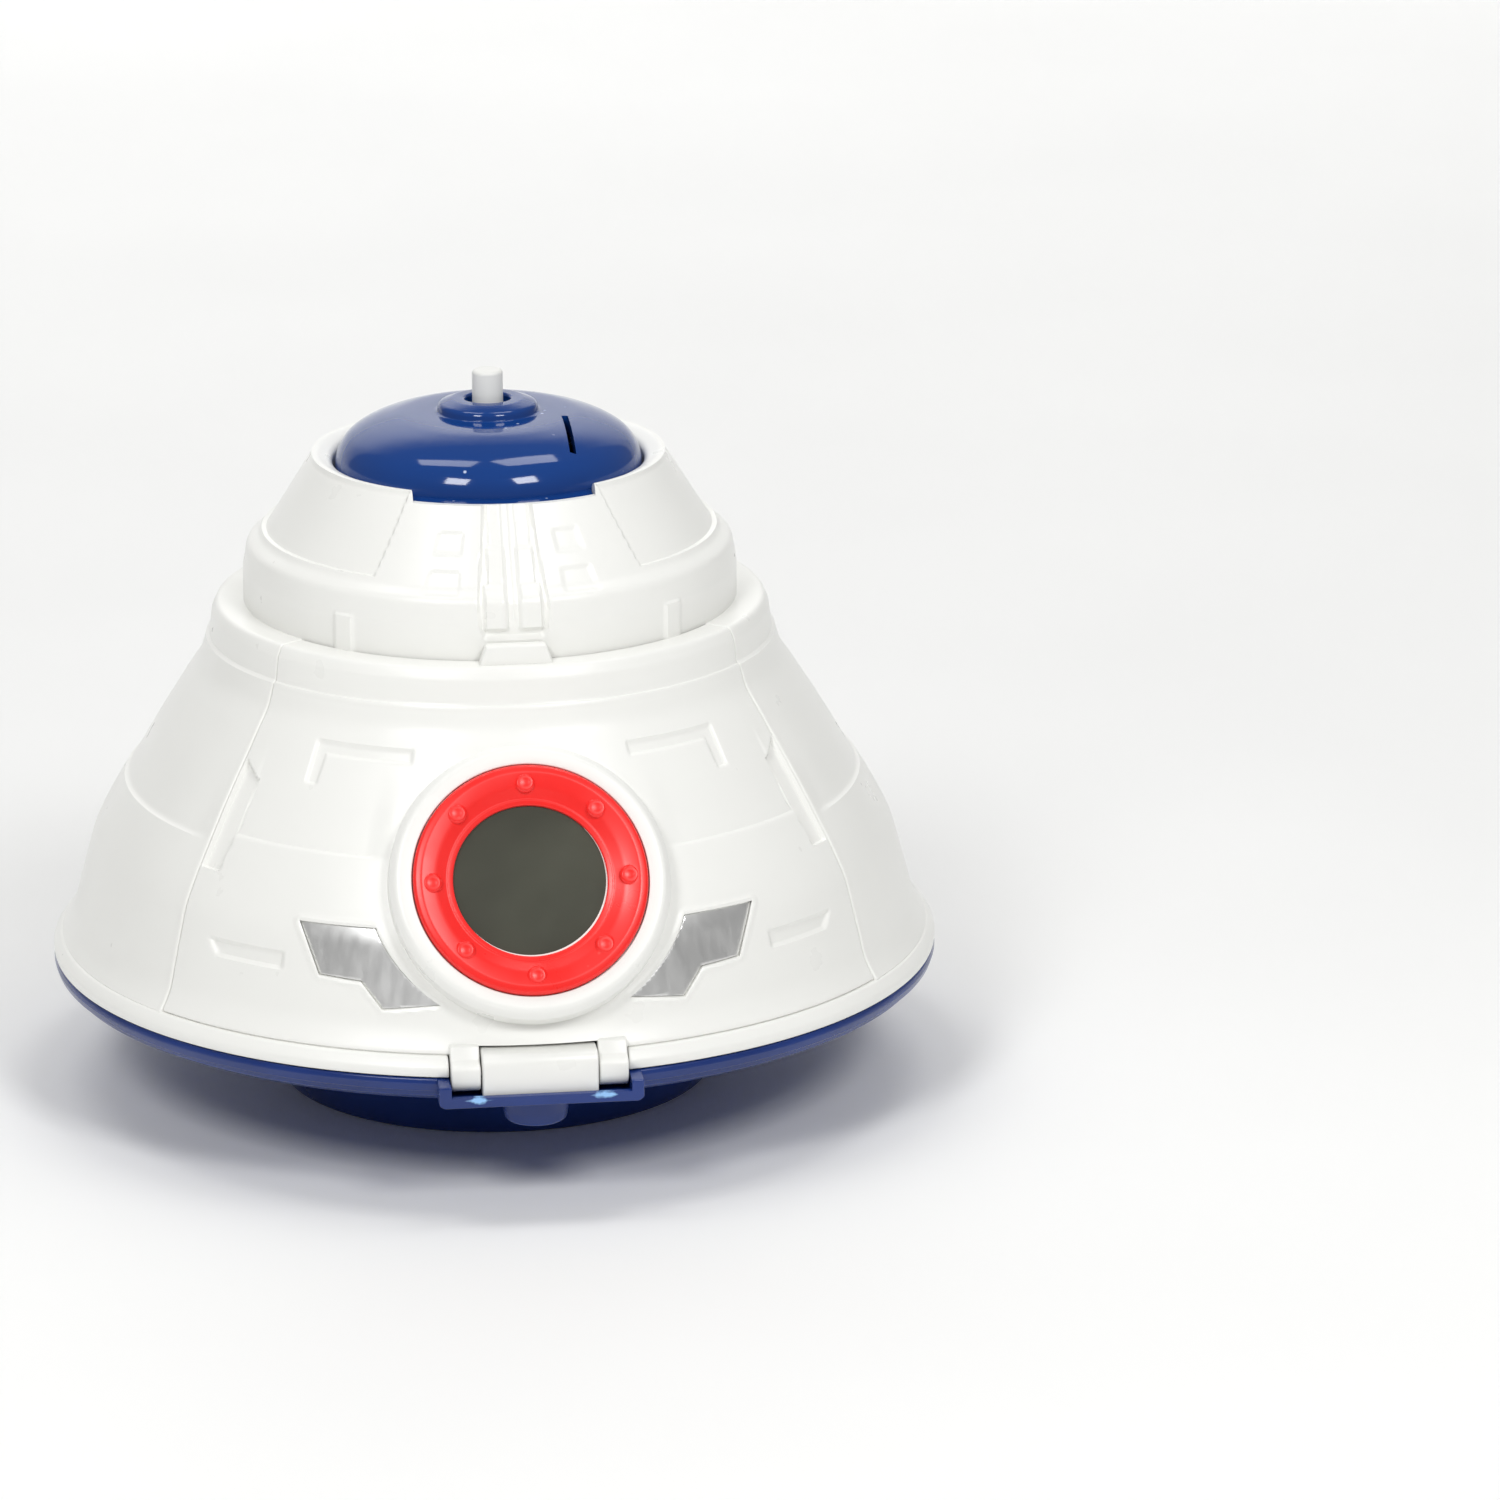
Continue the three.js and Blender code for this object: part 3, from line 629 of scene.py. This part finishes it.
def dress(obj, material, body, *nodes):
    """Gives a new piece its material and body, and hides the CAD nodes that it stands for."""
    obj.data.materials.clear()
    obj.data.materials.append(material)
    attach(obj, body)
    if nodes:
        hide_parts(*nodes)
    return obj


# ---------------------------------------------------------------- profiles of the white shells


def smooth_profile(knots, step):
    """A smooth curve through (radius, height) knots, by Catmull-Rom."""
    knots = [np.array(knot, float) for knot in knots]
    ends = [2 * knots[0] - knots[1]] + knots + [2 * knots[-1] - knots[-2]]
    points = []
    for a, b, c, d in zip(ends, ends[1:], ends[2:], ends[3:]):
        for t in np.linspace(0, 1, 12, endpoint=False):
            points.append(0.5 * (2 * b + (c - a) * t + (2 * a - 5 * b + 4 * c - d) * t**2
                                 + (3 * b - a - 3 * c + d) * t**3))
    points.append(knots[-1])
    return resample(points, step)


CONE = [(88.2, HOOP_TOP), (86.7, 34), (85.5, 36.6), (84.6, 40), (83.5, 44), (82.4, 48), (81.2, 52),
        (79.3, 56), (77.1, 60), (74.7, 64), (72.3, 68), (69.8, 72), (67.2, 76), (64.5, 80), (61.8, 84.2),
        (59.1, 88.3), (57.8, 92.0)]


def cone_and_collar(step, inner_radius):
    """The outside from the hoop up to the collar's rounded top edge and in towards the nose."""
    cone = smooth_profile(CONE, step)
    collar = fillet([(57.8, 92.0, 0), (57.55, 93.1, 0.4), (56.85, 93.35, 0.3), (56.3, 98.0, 1.5),
                     (55.2, COLLAR_TOP, 1.1), (inner_radius, COLLAR_TOP, 0)], closed=False, step=8)
    return np.concatenate([cone[:-1], resample(collar, step)])


def side_features(relief, rear=False):
    """Moulded into the cone's sides: channel by the seam, corner groove, dent and a ledge."""
    channel = [(53.4, 78.9), (49.2, 76.2), (49.2, 68.9), (50.0, 59.7), (53.4, 59.7)]
    corner_groove = [(20.1, 85.0), (39.2, 85.0), (39.2, 77.7), (37.2, 77.7), (37.0, 82.9), (20.1, 82.9)]
    dent = [(48.3, 47.6), (46.4, 44.8), (35.6, 44.8), (35.6, 47.8)]
    relief.polygon(channel, 1.0, 0.5, rear)
    relief.polygon(corner_groove, 0.6, 0.8, rear)
    relief.polygon(dent, 0.7, 1.0, rear)
    relief.ledge(66.4, -1 if rear else 21.8, 49.6, 0.5, rear)


def hatch_relief(theta, radius, height):
    """The hatch: side panels, raised edges round the inlays, rounded outer edges."""
    relief = Relief(theta, radius, height)
    side_features(relief)
    across = radius * np.sin(np.radians(np.abs(theta)))
    from_inlay = polygon_distance(across, height, inlay_outline(1))
    relief.offset += 0.28 * np.exp(-((from_inlay - 0.75) / 0.4) ** 2)
    from_side = np.radians(HATCH_HALF_ANGLE - np.abs(theta)) * radius
    fall = edge_round(from_side, 0.3) + edge_round(height - HOOP_TOP - SEAM)
    return relief.offset - fall


def rear_relief(theta, radius, height):
    """The rear cone: panels that mirror the hatch's, a ledge at the sides and a bead at the seam."""
    relief = Relief(theta, radius, height)
    side_features(relief, rear=True)
    relief.ledge(64.3, 54.6, 125.4, 0.5)
    from_side = np.radians(np.abs(theta) - HATCH_HALF_ANGLE - SIDE_SEAM) * radius
    ridge = np.exp(-((from_side - 0.7) / 0.5) ** 2) * (height < COLLAR_TOP - 9)
    return relief.offset + 0.12 * ridge - edge_round(from_side, 0.3)


# ---------------------------------------------------------------- main shell: hoop, rear cone, nose


def rim_hoop():
    """The white hoop on the blue rim, open at the hinge."""
    outline = fillet([
        (84.0, HOOP_BOTTOM, 0.3), (RIM_RADIUS - 0.1, HOOP_BOTTOM, 0.35),
        (RIM_RADIUS + 0.15, HOOP_BOTTOM + 1.6, 1.8), (RIM_RADIUS - 1.6, HOOP_TOP - 0.1, 1.3),
        (84.0, HOOP_TOP - 0.15, 0.3),
    ], step=10)
    hoop = turned("rim_hoop", outline, 360)
    gap = prism("gap", [(-HINGE_GAP_HALF, -120), (HINGE_GAP_HALF, -120), (HINGE_GAP_HALF, -60),
                        (-HINGE_GAP_HALF, -60)], 0, 60)
    combine(hoop, [gap], "DIFFERENCE")
    bevelled(hoop, 0.35, 3, 50)
    return dress(smooth(hoop), white_plastic, "capsule", "main_shell")


def rear_cone():
    """The back of the cone and collar, seam to seam."""
    start = HATCH_HALF_ANGLE + SIDE_SEAM
    length = 2 * (HALF_TURN - start)
    columns = start + edge_steps(length * 1.4, 0.85) / 1.4
    profile = cone_and_collar(0.5, NOSE_RADIUS - 0.1)
    profile = np.concatenate([[(88.0, HOOP_TOP - 1.2)], profile])

    def relief(theta, radius, height):
        signed = np.where(theta > HALF_TURN, theta - 2 * HALF_TURN, theta)
        return rear_relief(signed, radius, height)

    body = shell("rear_cone", profile, columns, relief)
    return dress(smooth(body), white_plastic, "capsule", "main_shell")


def nose_relief(theta, radius, height):
    """Recessed side panels, a channel with stepped ribs at the front, small marks and ribs on the band."""
    relief = Relief(theta, radius, height)
    side_panel = [(35.4, 115.3), (144.6, 115.3), (149.2, 131.5), (30.8, 131.5)]
    on_slope = height > 108
    for rear in (False, True):
        relief.polygon([(-1, 130.4), (7.2, 130.4), (7.6, 121), (8.3, 112), (7.6, 106.6), (6.6, 104.9),
                        (-1, 104.9)], 1.0, 0.5, rear)
        relief.polygon([(12.5, 123.8), (19.5, 123.8), (20.3, 120), (12.9, 120)], 0.3, 0.8, rear)
        relief.polygon([(12.9, 117), (20.6, 117), (21.6, 113), (12.9, 113)], 0.3, 0.8, rear)
    relief.polygon(side_panel, 0.85, 0.5)
    relief.polygon([(38.4, 99), (43.4, 99), (43.4, 107.6), (38.4, 107.6)], -0.5, 0.7)
    size = np.radians(relief.angle) * radius
    ribs = np.zeros(theta.shape)
    for top, bottom, inner, outer, rise in ((131.5, 120.9, 1.35, 4.15, 0.4), (121.4, 114.2, 1.3, 4.65, 0.75),
                                            (114.7, 106.4, 1.35, 5.7, 1.1)):
        across = ramp(size, inner - 0.3, inner + 0.3) * (1 - ramp(size, outer - 0.3, outer + 0.3))
        along = ramp(height, bottom - 0.3, bottom + 0.3) * (1 - ramp(height, top - 0.3, top + 0.3))
        ribs = np.maximum(ribs, rise * across * along)
    thread = np.exp(-(size / 0.35) ** 2) * 0.25 * (relief.angle < 90)
    relief.offset += ribs * (relief.angle < 90) + thread * on_slope
    return relief.offset


def nose_shell():
    """The nose: a band, a shoulder, a sloping face and the ring round the cap, in one moulding."""
    outline = fillet([
        (NOSE_RADIUS, 98.4, 0), (NOSE_RADIUS, 107.4, 3.0), (48.9, 112.2, 2.4), (46.5, 114.0, 1.5),
        (35.9, NOSE_TOP + 0.1, 2.6), (CAP_RADIUS + 1.2, 129.2, 0.8),
        (CAP_RADIUS + 0.4, 128.4, 0), (CAP_RADIUS + 0.35, CAP_BOTTOM - 0.2, 0), (24.0, CAP_BOTTOM - 0.3, 0),
    ], closed=False, step=8)
    columns = np.linspace(0, 360, 641)[:-1]
    profile = resample(outline, 0.5)

    def relief(theta, radius, height):
        signed = np.where(theta > HALF_TURN, theta - 2 * HALF_TURN, theta)
        offset = nose_relief(signed, radius, height)
        inside = radius < 35.6
        return np.where(inside & (height < NOSE_TOP - 0.2), 0.0, offset * (1 - ramp(-radius, -36.4, -35.3)))

    body = shell("nose_shell", profile, columns, relief, wall=1.9, closed=True)
    notch = block("notch", (-NOTCH_HALF_WIDTH, -60, NOTCH_FLOOR), (NOTCH_HALF_WIDTH, -20, NOSE_TOP + 5), 0)
    pocket_radius = TONGUE_RADIUS + 0.2
    pocket = turned("pocket", [(0, TONGUE_FLOOR), (pocket_radius, TONGUE_FLOOR), (pocket_radius, 140),
                               (0, 140)])
    front = block("front", (-NOTCH_HALF_WIDTH, -60, 126.0), (NOTCH_HALF_WIDTH, -20, 141), 0)
    combine(pocket, [front], "INTERSECT")
    core = turned("core", [(32.2, 124.2), (38.2, 124.2), (35.2, 129.4), (33.4, 129.4)], 360)
    combine(body, [core], "UNION")
    combine(body, [notch, pocket], "DIFFERENCE")
    return dress(smooth(body), white_plastic, "capsule", "main_shell")


rim_hoop()
rear_cone()
nose_shell()

# ---------------------------------------------------------------- hatch with its porthole

porthole_frame = Matrix.Translation(PORTHOLE_CENTRE) @ Matrix.Rotation(math.radians(PORTHOLE_TILT), 4, "X")


def inlay_outline(side, margin=0.0):
    """The silver inlay seen from the front as (x, z): its inner edge is an arc round the porthole."""
    arc_radius = 32.2 - margin
    squash = math.sin(math.radians(PORTHOLE_TILT))
    points = []
    for step in range(13):
        part = step / 12
        angle = math.radians(-19.0 - 35.5 * part)
        x = arc_radius * math.cos(angle)
        z = PORTHOLE_CENTRE[2] + arc_radius * math.sin(angle) * squash
        points.append((x, z + margin * (1 - 2 * part)))
    points += [(29.4 + margin, 39.3 - margin), (33.3 + margin * 0.6, 44.2 - margin),
               (41.1 + margin, 44.7 - margin), (44.3 + margin, 53.9 + margin)]
    return [(side * x, z) for x, z in points]


def hatch_panel():
    """The hatch with its porthole boss, inlay pockets, snap tab and hinge ears."""
    columns = edge_steps(2 * HATCH_HALF_ANGLE * 1.4, 0.48) / 1.4 - HATCH_HALF_ANGLE
    profile = cone_and_collar(0.42, NOSE_RADIUS + 0.35)
    profile[0] = (88.05, HOOP_TOP + SEAM)
    body = shell("hatch_panel", profile, columns, hatch_relief)
    boss_outline = fillet([
        (17.5, -6.4, 0.3), (27.6, -6.4, 0), (27.6, -0.9, 0.6), (26.2, 0.95, 1.5),
        (RING_RADIUS + 0.25, 0.8, 0.25), (RING_RADIUS + 0.25, -0.7, 0), (17.2, -0.7, 0),
        (17.2, -2.7, 0), (WINDOW_RADIUS - 0.3, -2.7, 0.2), (WINDOW_RADIUS - 0.3, -4.4, 0.3), (17.5, -4.4, 0),
    ])
    boss = moved(turned("boss", boss_outline, 192), porthole_frame)
    window = moved(turned("window", [(0, -20), (20, -20), (20, 8), (0, 8)], 128), porthole_frame)
    combine(body, [window], "DIFFERENCE")
    seat = moved(turned("seat", [(0, -20), (24.4, -20), (24.4, 0.7), (0, 0.7)], 128), porthole_frame)
    trim = moved(turned("trim", [(0, 0.4), (26.0, 0.4), (26.0, 12), (0, 12)], 128), porthole_frame)
    combine(body, [seat, trim], "DIFFERENCE")
    combine(body, [boss], "UNION")
    for side in (-1, 1):
        tool = prism("inlay_cut", inlay_outline(side, 0.25), -96, -55, "y")
        pocket = shell("pocket", smooth_profile(CONE[1:8], 1.0), side * np.linspace(12, 34, 45),
                       lambda theta, radius, height: np.full(theta.shape, 3.0), wall=1.15, coarse=1)
        combine(tool, [pocket], "INTERSECT")
        combine(body, [tool], "DIFFERENCE")
    tab = prism("tab", fillet([(-7.4, 98.6, 0), (7.4, 98.6, 0), (7.2, 100.6, 0.4), (5.9, 104.2, 0.7),
                               (-5.9, 104.2, 0.7), (-7.2, 100.6, 0.4)]), -53.0, -NOSE_RADIUS - 0.35, "y")
    bevelled(tab, 0.45, 3)
    combine(body, [tab], "UNION")
    ears = []
    for side in (-1, 1):
        left, right = sorted((side * EAR_INNER, side * EAR_OUTER))
        outline = fillet([
            (HINGE_Y - EAR_RADIUS, HINGE_Z - EAR_RADIUS, 3.1),
            (HINGE_Y + EAR_RADIUS, HINGE_Z - EAR_RADIUS, 2.2), (-84.0, 33.6, 0), (-87.2, 33.6, 0),
            (HINGE_Y - 1.0, HINGE_Z + 3.0, 0.8), (HINGE_Y - EAR_RADIUS, HINGE_Z + 2.2, 1.4),
        ])
        ears.append(bevelled(prism("ear", outline, left, right, "x"), 0.35, 3, 50))
    combine(body, ears, "UNION")
    clear = block("clear", (-EAR_INNER, -100, 10), (EAR_INNER, -80, HINGE_Z + 5.2), 0)
    combine(body, [clear], "DIFFERENCE")
    return dress(smooth(body), white_plastic, "hatch", "hatch")


def porthole_ring():
    """Red ring: a rounded outer bead, a dished face, a thin lip at the window and eight domes."""
    outline = fillet([
        (WINDOW_RADIUS, -0.9, 0.1), (RING_RADIUS, -0.4, 0.2), (RING_RADIUS, 1.55, 0.9), (21.4, 1.95, 1.2),
        (18.6, 1.35, 5), (16.4, 0.35, 1.2), (16.0, 0.45, 0.3), (WINDOW_RADIUS, 0.15, 0.3),
    ], step=9)
    ring = turned("porthole_ring_fine", outline, 256)
    domes = []
    for number in range(RING_DOMES):
        angle = 2 * math.pi * number / RING_DOMES
        dome_outline = fillet([(0, -0.8, 0), (2.0, -0.8, 0), (2.0, 0.1, 0.2), (1.5, 0.5, 0.4),
                               (0.9, 0.5, 0.3), (0, 0.3, 0)], closed=False)
        dome = turned("dome", dome_outline, 40)
        across, up = -RING_DOME_CIRCLE * math.sin(angle), RING_DOME_CIRCLE * math.cos(angle)
        place = Matrix.Translation((across, up, 1.45))
        domes.append(moved(dome, place))
    combine(ring, domes, "UNION")
    return dress(smooth(moved(ring, porthole_frame), 28), red_plastic, "hatch", "porthole_ring")


def porthole_lens():
    """The window, dark partly from a smoke tint and partly from painted shade, and a white ring set
    off-centre at its edge as a painted highlight that shows as a thin pale line at the lower right.
    """
    outline = fillet([(0, -2.4, 0), (16.9, -2.4, 0.2), (16.9, -1.0, 0.3), (WINDOW_RADIUS, -1.0, 0),
                      (WINDOW_RADIUS, -0.6, 0), (0, -0.6, 0)], closed=False, step=15)
    lens = moved(turned("lens", outline, 160), porthole_frame)
    dress(smooth(lens), lens_material, "hatch", "porthole_lens")
    # painted highlight: a white ring, shifted off-centre, stands in for the light line on the window's edge
    # at the lower right
    edge = turned("painted_highlight_ring", [(15.05, -0.9), (15.5, -0.9), (15.5, -0.45), (15.05, -0.45)], 160)
    moved(edge, porthole_frame @ Matrix.Translation((-0.2, 0.3, 0)))
    dress(smooth(edge), white_plastic, "hatch")


def inlay(side, name, node):
    """A thin silver plate that follows the cone at the bottom of its pocket."""
    tool = prism(name, inlay_outline(side), -96, -55, "y")
    layer = shell("layer", smooth_profile(CONE[1:8], 0.8), side * np.linspace(12, 34, 60),
                  lambda theta, radius, height: np.full(theta.shape, -0.55), wall=1.1, coarse=1)
    combine(tool, [layer], "INTERSECT")
    bevelled(tool, 0.12, 2, 50)
    return dress(smooth(tool), silver, "hatch", node)


hatch_panel()
porthole_ring()
porthole_lens()
inlay(-1, "inlay_left", "silver_inlay_left")
inlay(1, "inlay_right", "silver_inlay_right")

# ---------------------------------------------------------------- hinge


def hinge_block():
    """The white knuckle between the hatch's ears."""
    outline = fillet([
        (HINGE_Y - 4.1, block_low[2], 0.9), (block_high[1], block_low[2], 0.6), (block_high[1], 27.6, 0.6),
        (-84.4, 27.6, 0.6), (-84.4, block_high[2], 1.0), (HINGE_Y - 4.1, block_high[2], 2.4),
    ], step=8)
    body = bevelled(prism("hinge_knuckle", outline, -BLOCK_HALF, BLOCK_HALF, "x"), 0.4, 3, 50)
    return dress(smooth(body), white_plastic, "capsule", "hinge_block")


def hinge_pin():
    """A steel pin with chamfered ends through ears and knuckle."""
    radius = (pin_high[2] - pin_low[2]) / 2
    half = pin_high[0]
    outline = fillet([(0, -half, 0), (radius, -half, 0.3), (radius, half, 0.3), (0, half, 0)], closed=False)
    pin = turned("hinge_pin_fine", outline, 48)
    turn = Matrix.Translation((0, HINGE_Y, HINGE_Z)) @ Matrix.Rotation(math.radians(90), 4, "Y")
    return dress(smooth(moved(pin, turn)), zinc, "capsule", "hinge_pin")


hinge_block()
hinge_pin()

# ---------------------------------------------------------------- base


def base_shell():
    """Blue dish with its foot, rim band, hinge pocket and screw boss."""
    outline = fillet([
        (0, 0, 0), (36.5, 0, 0.2), (36.9, 0.5, 0.3), (40.6, 0.5, 0.3), (41.0, 0, 0.2), (FOOT_RADIUS, 0, 0.9),
        (45.3, 4.2, 2.5), (47.6, 12.2, 2.0), (52, 13.6, 3.0), (84, 21.3, 3.0), (87.9, 23.2, 0.8),
        (88.6, 24.5, 0.5), (RIM_RADIUS - 0.5, 24.7, 0.4), (RIM_RADIUS, 26.2, 0.6),
        (RIM_RADIUS - 0.3, BASE_TOP, 0.5),
        (84.2, BASE_TOP, 0.3), (83.4, 24.6, 0.8), (52, 16.4, 1), (46, 14.6, 1), (41.8, 2.4, 1), (0, 2.4, 0),
    ], closed=False, step=10)
    body = turned("base_shell", outline, 360)
    flange_outline = fillet([(-20.0, BASE_TOP, 0), (-20.0, 23.6, 0), (-19.0, 22.9, 0), (19.0, 22.9, 0),
                             (20.0, 23.6, 0), (20.0, BASE_TOP, 0)])
    flange = bevelled(prism("flange", flange_outline, -93.35, -80, "y"), 0.35, 3, 20)
    boss = turned("boss", fillet([(0, 15.9, 0), (6.0, 15.9, 0.9), (6.45, 18.2, 0.6), (6.45, 23.4, 0),
                                  (0, 23.4, 0)], closed=False), 96)
    moved(boss, Matrix.Translation((0, -80, 0)))
    combine(body, [flange, boss], "UNION")
    cavity = block("cavity", (-HINGE_GAP_HALF, -92, 23.8), (HINGE_GAP_HALF, -83.6, 60), 0)
    front = block("front", (-HINGE_GAP_HALF, -99, 25.0), (HINGE_GAP_HALF, -91.7, 60), 0)
    rear = block("rear", (-BLOCK_HALF - 0.3, -92, 23.8), (BLOCK_HALF + 0.3, -74.6, 60), 0)
    recess = turned("recess", [(0, 10), (3.3, 10), (3.3, 18), (0, 18)], 64)
    moved(recess, Matrix.Translation((0, -80, 0)))
    combine(body, [cavity, front, rear, recess], "DIFFERENCE")
    return dress(smooth(body), base_blue, "capsule", "base_dish")


base_shell()

# ---------------------------------------------------------------- cap and push rod


def cap_dome():
    """Blue domed cap with a round boss, a slit and the tongue that fills the nose's notch."""
    dome = smooth_profile([(10.6, 138.35), (14.2, 138.3), (17.6, 138.1), (20.4, 137.45), (23.2, 136.5),
                           (25.9, 135.2), (28.3, 133.5), (29.9, 131.3), (30.75, 128.9), (30.95, 126.9)], 0.5)
    boss = fillet([(4.5, 135.4, 0.3), (4.5, BOSS_TOP, 0.7), (7.2, BOSS_TOP, 1.5), (9.9, 140.0, 1.3),
                   (10.2, 138.5, 0.3), (10.6, 138.35, 0)], closed=False, step=8)
    inside = [(CAP_RADIUS, CAP_BOTTOM), (28.8, CAP_BOTTOM), (28.4, 130.2), (26, 132.2), (18, 134.6),
              (9.2, 135.0)]
    outline = list(boss[:-1]) + [tuple(point) for point in dome] + inside
    body = turned("cap_dome", outline, 288)
    slit = block("slit", (14.15, -22.4, 130), (15.45, -6.4, 140), 0)
    combine(body, [slit], "DIFFERENCE")
    tongue = turned("tongue", [(30, TONGUE_TOP - 1.5), (TONGUE_RADIUS, TONGUE_TOP - 1.5),
                               (TONGUE_RADIUS, TONGUE_TOP), (30, TONGUE_TOP)], 288)
    half = NOTCH_HALF_WIDTH - 0.15
    combine(tongue, [block("front", (-half, -60, 120), (half, -20, 140), 0)], "INTERSECT")
    combine(body, [tongue], "UNION")
    tube = turned("tube", [(7, 127.2), (9.2, 127.2), (9.2, 135.6), (7, 135.6)], 96)
    combine(body, [tube], "UNION")
    return dress(smooth(body, 32), blue_plastic, "capsule", "top_cap")


def push_rod():
    """The white rod with the flange that the spring pushes against."""
    outline = fillet([(0, rod_low[2], 0), (ROD_RADIUS, rod_low[2], 0.4), (ROD_RADIUS, 133.4, 0.2),
                      (6.4, 133.4, 0.3), (6.4, 134.9, 0.3), (ROD_RADIUS, 134.9, 0.3),
                      (ROD_RADIUS, ROD_TOP, 0.8), (0, ROD_TOP, 0)], closed=False)
    return dress(smooth(turned("push_rod", outline, 96)), white_plastic_rod, "button", "push_button")


def return_spring():
    """A coil spring between the retainer and the rod's flange; the real one closes up as the rod is pressed,
    this one is built at rest and stays with the capsule.
    """
    coil_radius, wire_radius = 5.0, 0.35
    bottom, height, turns = 127.6, 5.1, 3
    steps, sides = 40 * turns, 10
    verts = []
    for step in range(steps + 1):
        turn = 2 * math.pi * turns * step / steps
        for side in range(sides):
            angle = 2 * math.pi * side / sides
            radius = coil_radius + wire_radius * math.cos(angle)
            verts.append((radius * math.cos(turn), radius * math.sin(turn),
                          bottom + height * step / steps + wire_radius * math.sin(angle)))
    faces = [tuple(range(sides)), tuple(range(steps * sides, (steps + 1) * sides))]
    for step in range(steps):
        for side in range(sides):
            other = (side + 1) % sides
            faces.append((step * sides + side, step * sides + other,
                          (step + 1) * sides + other, (step + 1) * sides + side))
    spring = smooth(outward(new_object("return_spring", verts, faces)))
    dress(spring, zinc, "capsule", "button_spring")
    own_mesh(spring)


cap_dome()
push_rod()
return_spring()

# ---------------------------------------------------------------- carried-over parts

carried = {
    "button_retainer": blue_plastic, "nose_bulkhead": white_plastic, "battery_cover": white_plastic,
    "sound_board": board_material, "tact_switch": black_plastic, "sound_chip": black_plastic,
    "speaker": black_plastic, "led_lamp": lamp_plastic, "cabin_deck": grey_plastic, "crew_seat": grey_plastic,
    "battery_contact_plus": nickel, "battery_contact_minus": nickel,
}
for number in range(1, 4):
    carried[f"button_cell_{number}"] = cell_can
for node_name, node_object in frame["nodes"].items():
    if "screw" in node_name:
        carried[node_name] = zinc
for node_name, material in carried.items():
    node_mesh = frame["nodes"][node_name].data
    node_mesh.materials.clear()
    node_mesh.materials.append(material)

# ---------------------------------------------------------------- studio


def floor():
    """A pale sweep that curves up into a backdrop."""
    size = 4000
    outline = [(-size / 2, 0)] + [(1500 + 600 * math.sin(a), 600 - 600 * math.cos(a))
                                  for a in np.linspace(0, math.pi / 2, 24)] + [(2100, 3000)]
    verts = [(x, y, z) for y, z in outline for x in (-size / 2, size / 2)]
    faces = [(2 * i, 2 * i + 1, 2 * i + 3, 2 * i + 2) for i in range(len(outline) - 1)]
    sweep = smooth(new_object("floor", verts, faces), 60)
    nodes = Nodes("paper")
    nodes.set(Roughness=0.9)
    nodes.link(nodes.ramp(nodes.noise(6, 2), [(0.3, srgb(249, 249, 248)), (0.7, srgb(252, 252, 251))]),
               nodes.shader.inputs["Base Color"])
    sweep.data.materials.append(nodes.material)


def area_light(name, place, target, size, watts):
    """A rectangular softbox that faces a target."""
    light = bpy.data.lights.new(name, "AREA")
    light.shape = "RECTANGLE"
    light.size, light.size_y = size
    light.energy = watts
    obj = bpy.data.objects.new(name, light)
    bpy.context.scene.collection.objects.link(obj)
    obj.location = place
    direction = Vector(target) - Vector(place)
    obj.rotation_euler = direction.to_track_quat("-Z", "Y").to_euler()
    return obj


def studio():
    """Two softboxes in front, two overhead, one strip for the ground behind, and a dim even world."""
    floor()
    centre = (0, 0, 0.07)
    area_light("softbox_left", (-0.64, -1.0, 1.05), centre, (0.4, 0.4), 7.4)
    area_light("softbox_right", (0.52, -1.05, 1.05), centre, (0.4, 0.4), 7.4)
    area_light("overhead_left", (-0.4, 0.18, 1.5), centre, (0.38, 0.6), 3.3)
    area_light("overhead_right", (0.38, 0.18, 1.5), centre, (0.38, 0.6), 3.3)
    area_light("backdrop", (0.0, 1.1, 1.7), (0, 2.1, 1.1), (2.4, 0.5), 24)
    world = bpy.data.worlds.new("studio")
    bpy.context.scene.world = world
    world.use_nodes = True
    background = world.node_tree.nodes["Background"]
    background.inputs["Color"].default_value = (1, 1, 1, 1)
    background.inputs["Strength"].default_value = 0.24
    bpy.context.scene.view_settings.view_transform = "Standard"


def camera():
    """A long lens, 1.63 m away and 17 degrees up, turned so that the capsule stands left of centre."""
    azimuth = math.radians(-5.35)
    elevation = math.radians(17.07)
    distance = 1.6305
    aim = Vector((0, 0, 0.06))
    out = Vector((math.sin(azimuth) * math.cos(elevation), -math.cos(azimuth) * math.cos(elevation),
                  math.sin(elevation)))
    right = Vector((math.cos(azimuth), math.sin(azimuth), 0))
    forward = -out
    up = right.cross(forward)
    axes = Matrix((right, up, forward))
    roll, pan, tilt = (math.radians(value) for value in (0.81, -1.84, 0.234))
    turn_roll = Matrix(((math.cos(roll), -math.sin(roll), 0), (math.sin(roll), math.cos(roll), 0), (0, 0, 1)))
    turn_pan = Matrix(((math.cos(pan), 0, math.sin(pan)), (0, 1, 0), (-math.sin(pan), 0, math.cos(pan))))
    turn_tilt = Matrix(((1, 0, 0), (0, math.cos(tilt), -math.sin(tilt)), (0, math.sin(tilt), math.cos(tilt))))
    rows = turn_tilt @ turn_pan @ turn_roll @ axes
    data = bpy.data.cameras.new("camera")
    data.lens = 192
    data.sensor_width = 36
    data.clip_end = 20
    obj = bpy.data.objects.new("camera", data)
    bpy.context.scene.collection.objects.link(obj)
    pose = Matrix((rows[0], rows[1], -rows[2])).transposed().to_4x4()
    pose.translation = aim + out * distance
    obj.matrix_world = pose
    bpy.context.scene.camera = obj


studio()
camera()
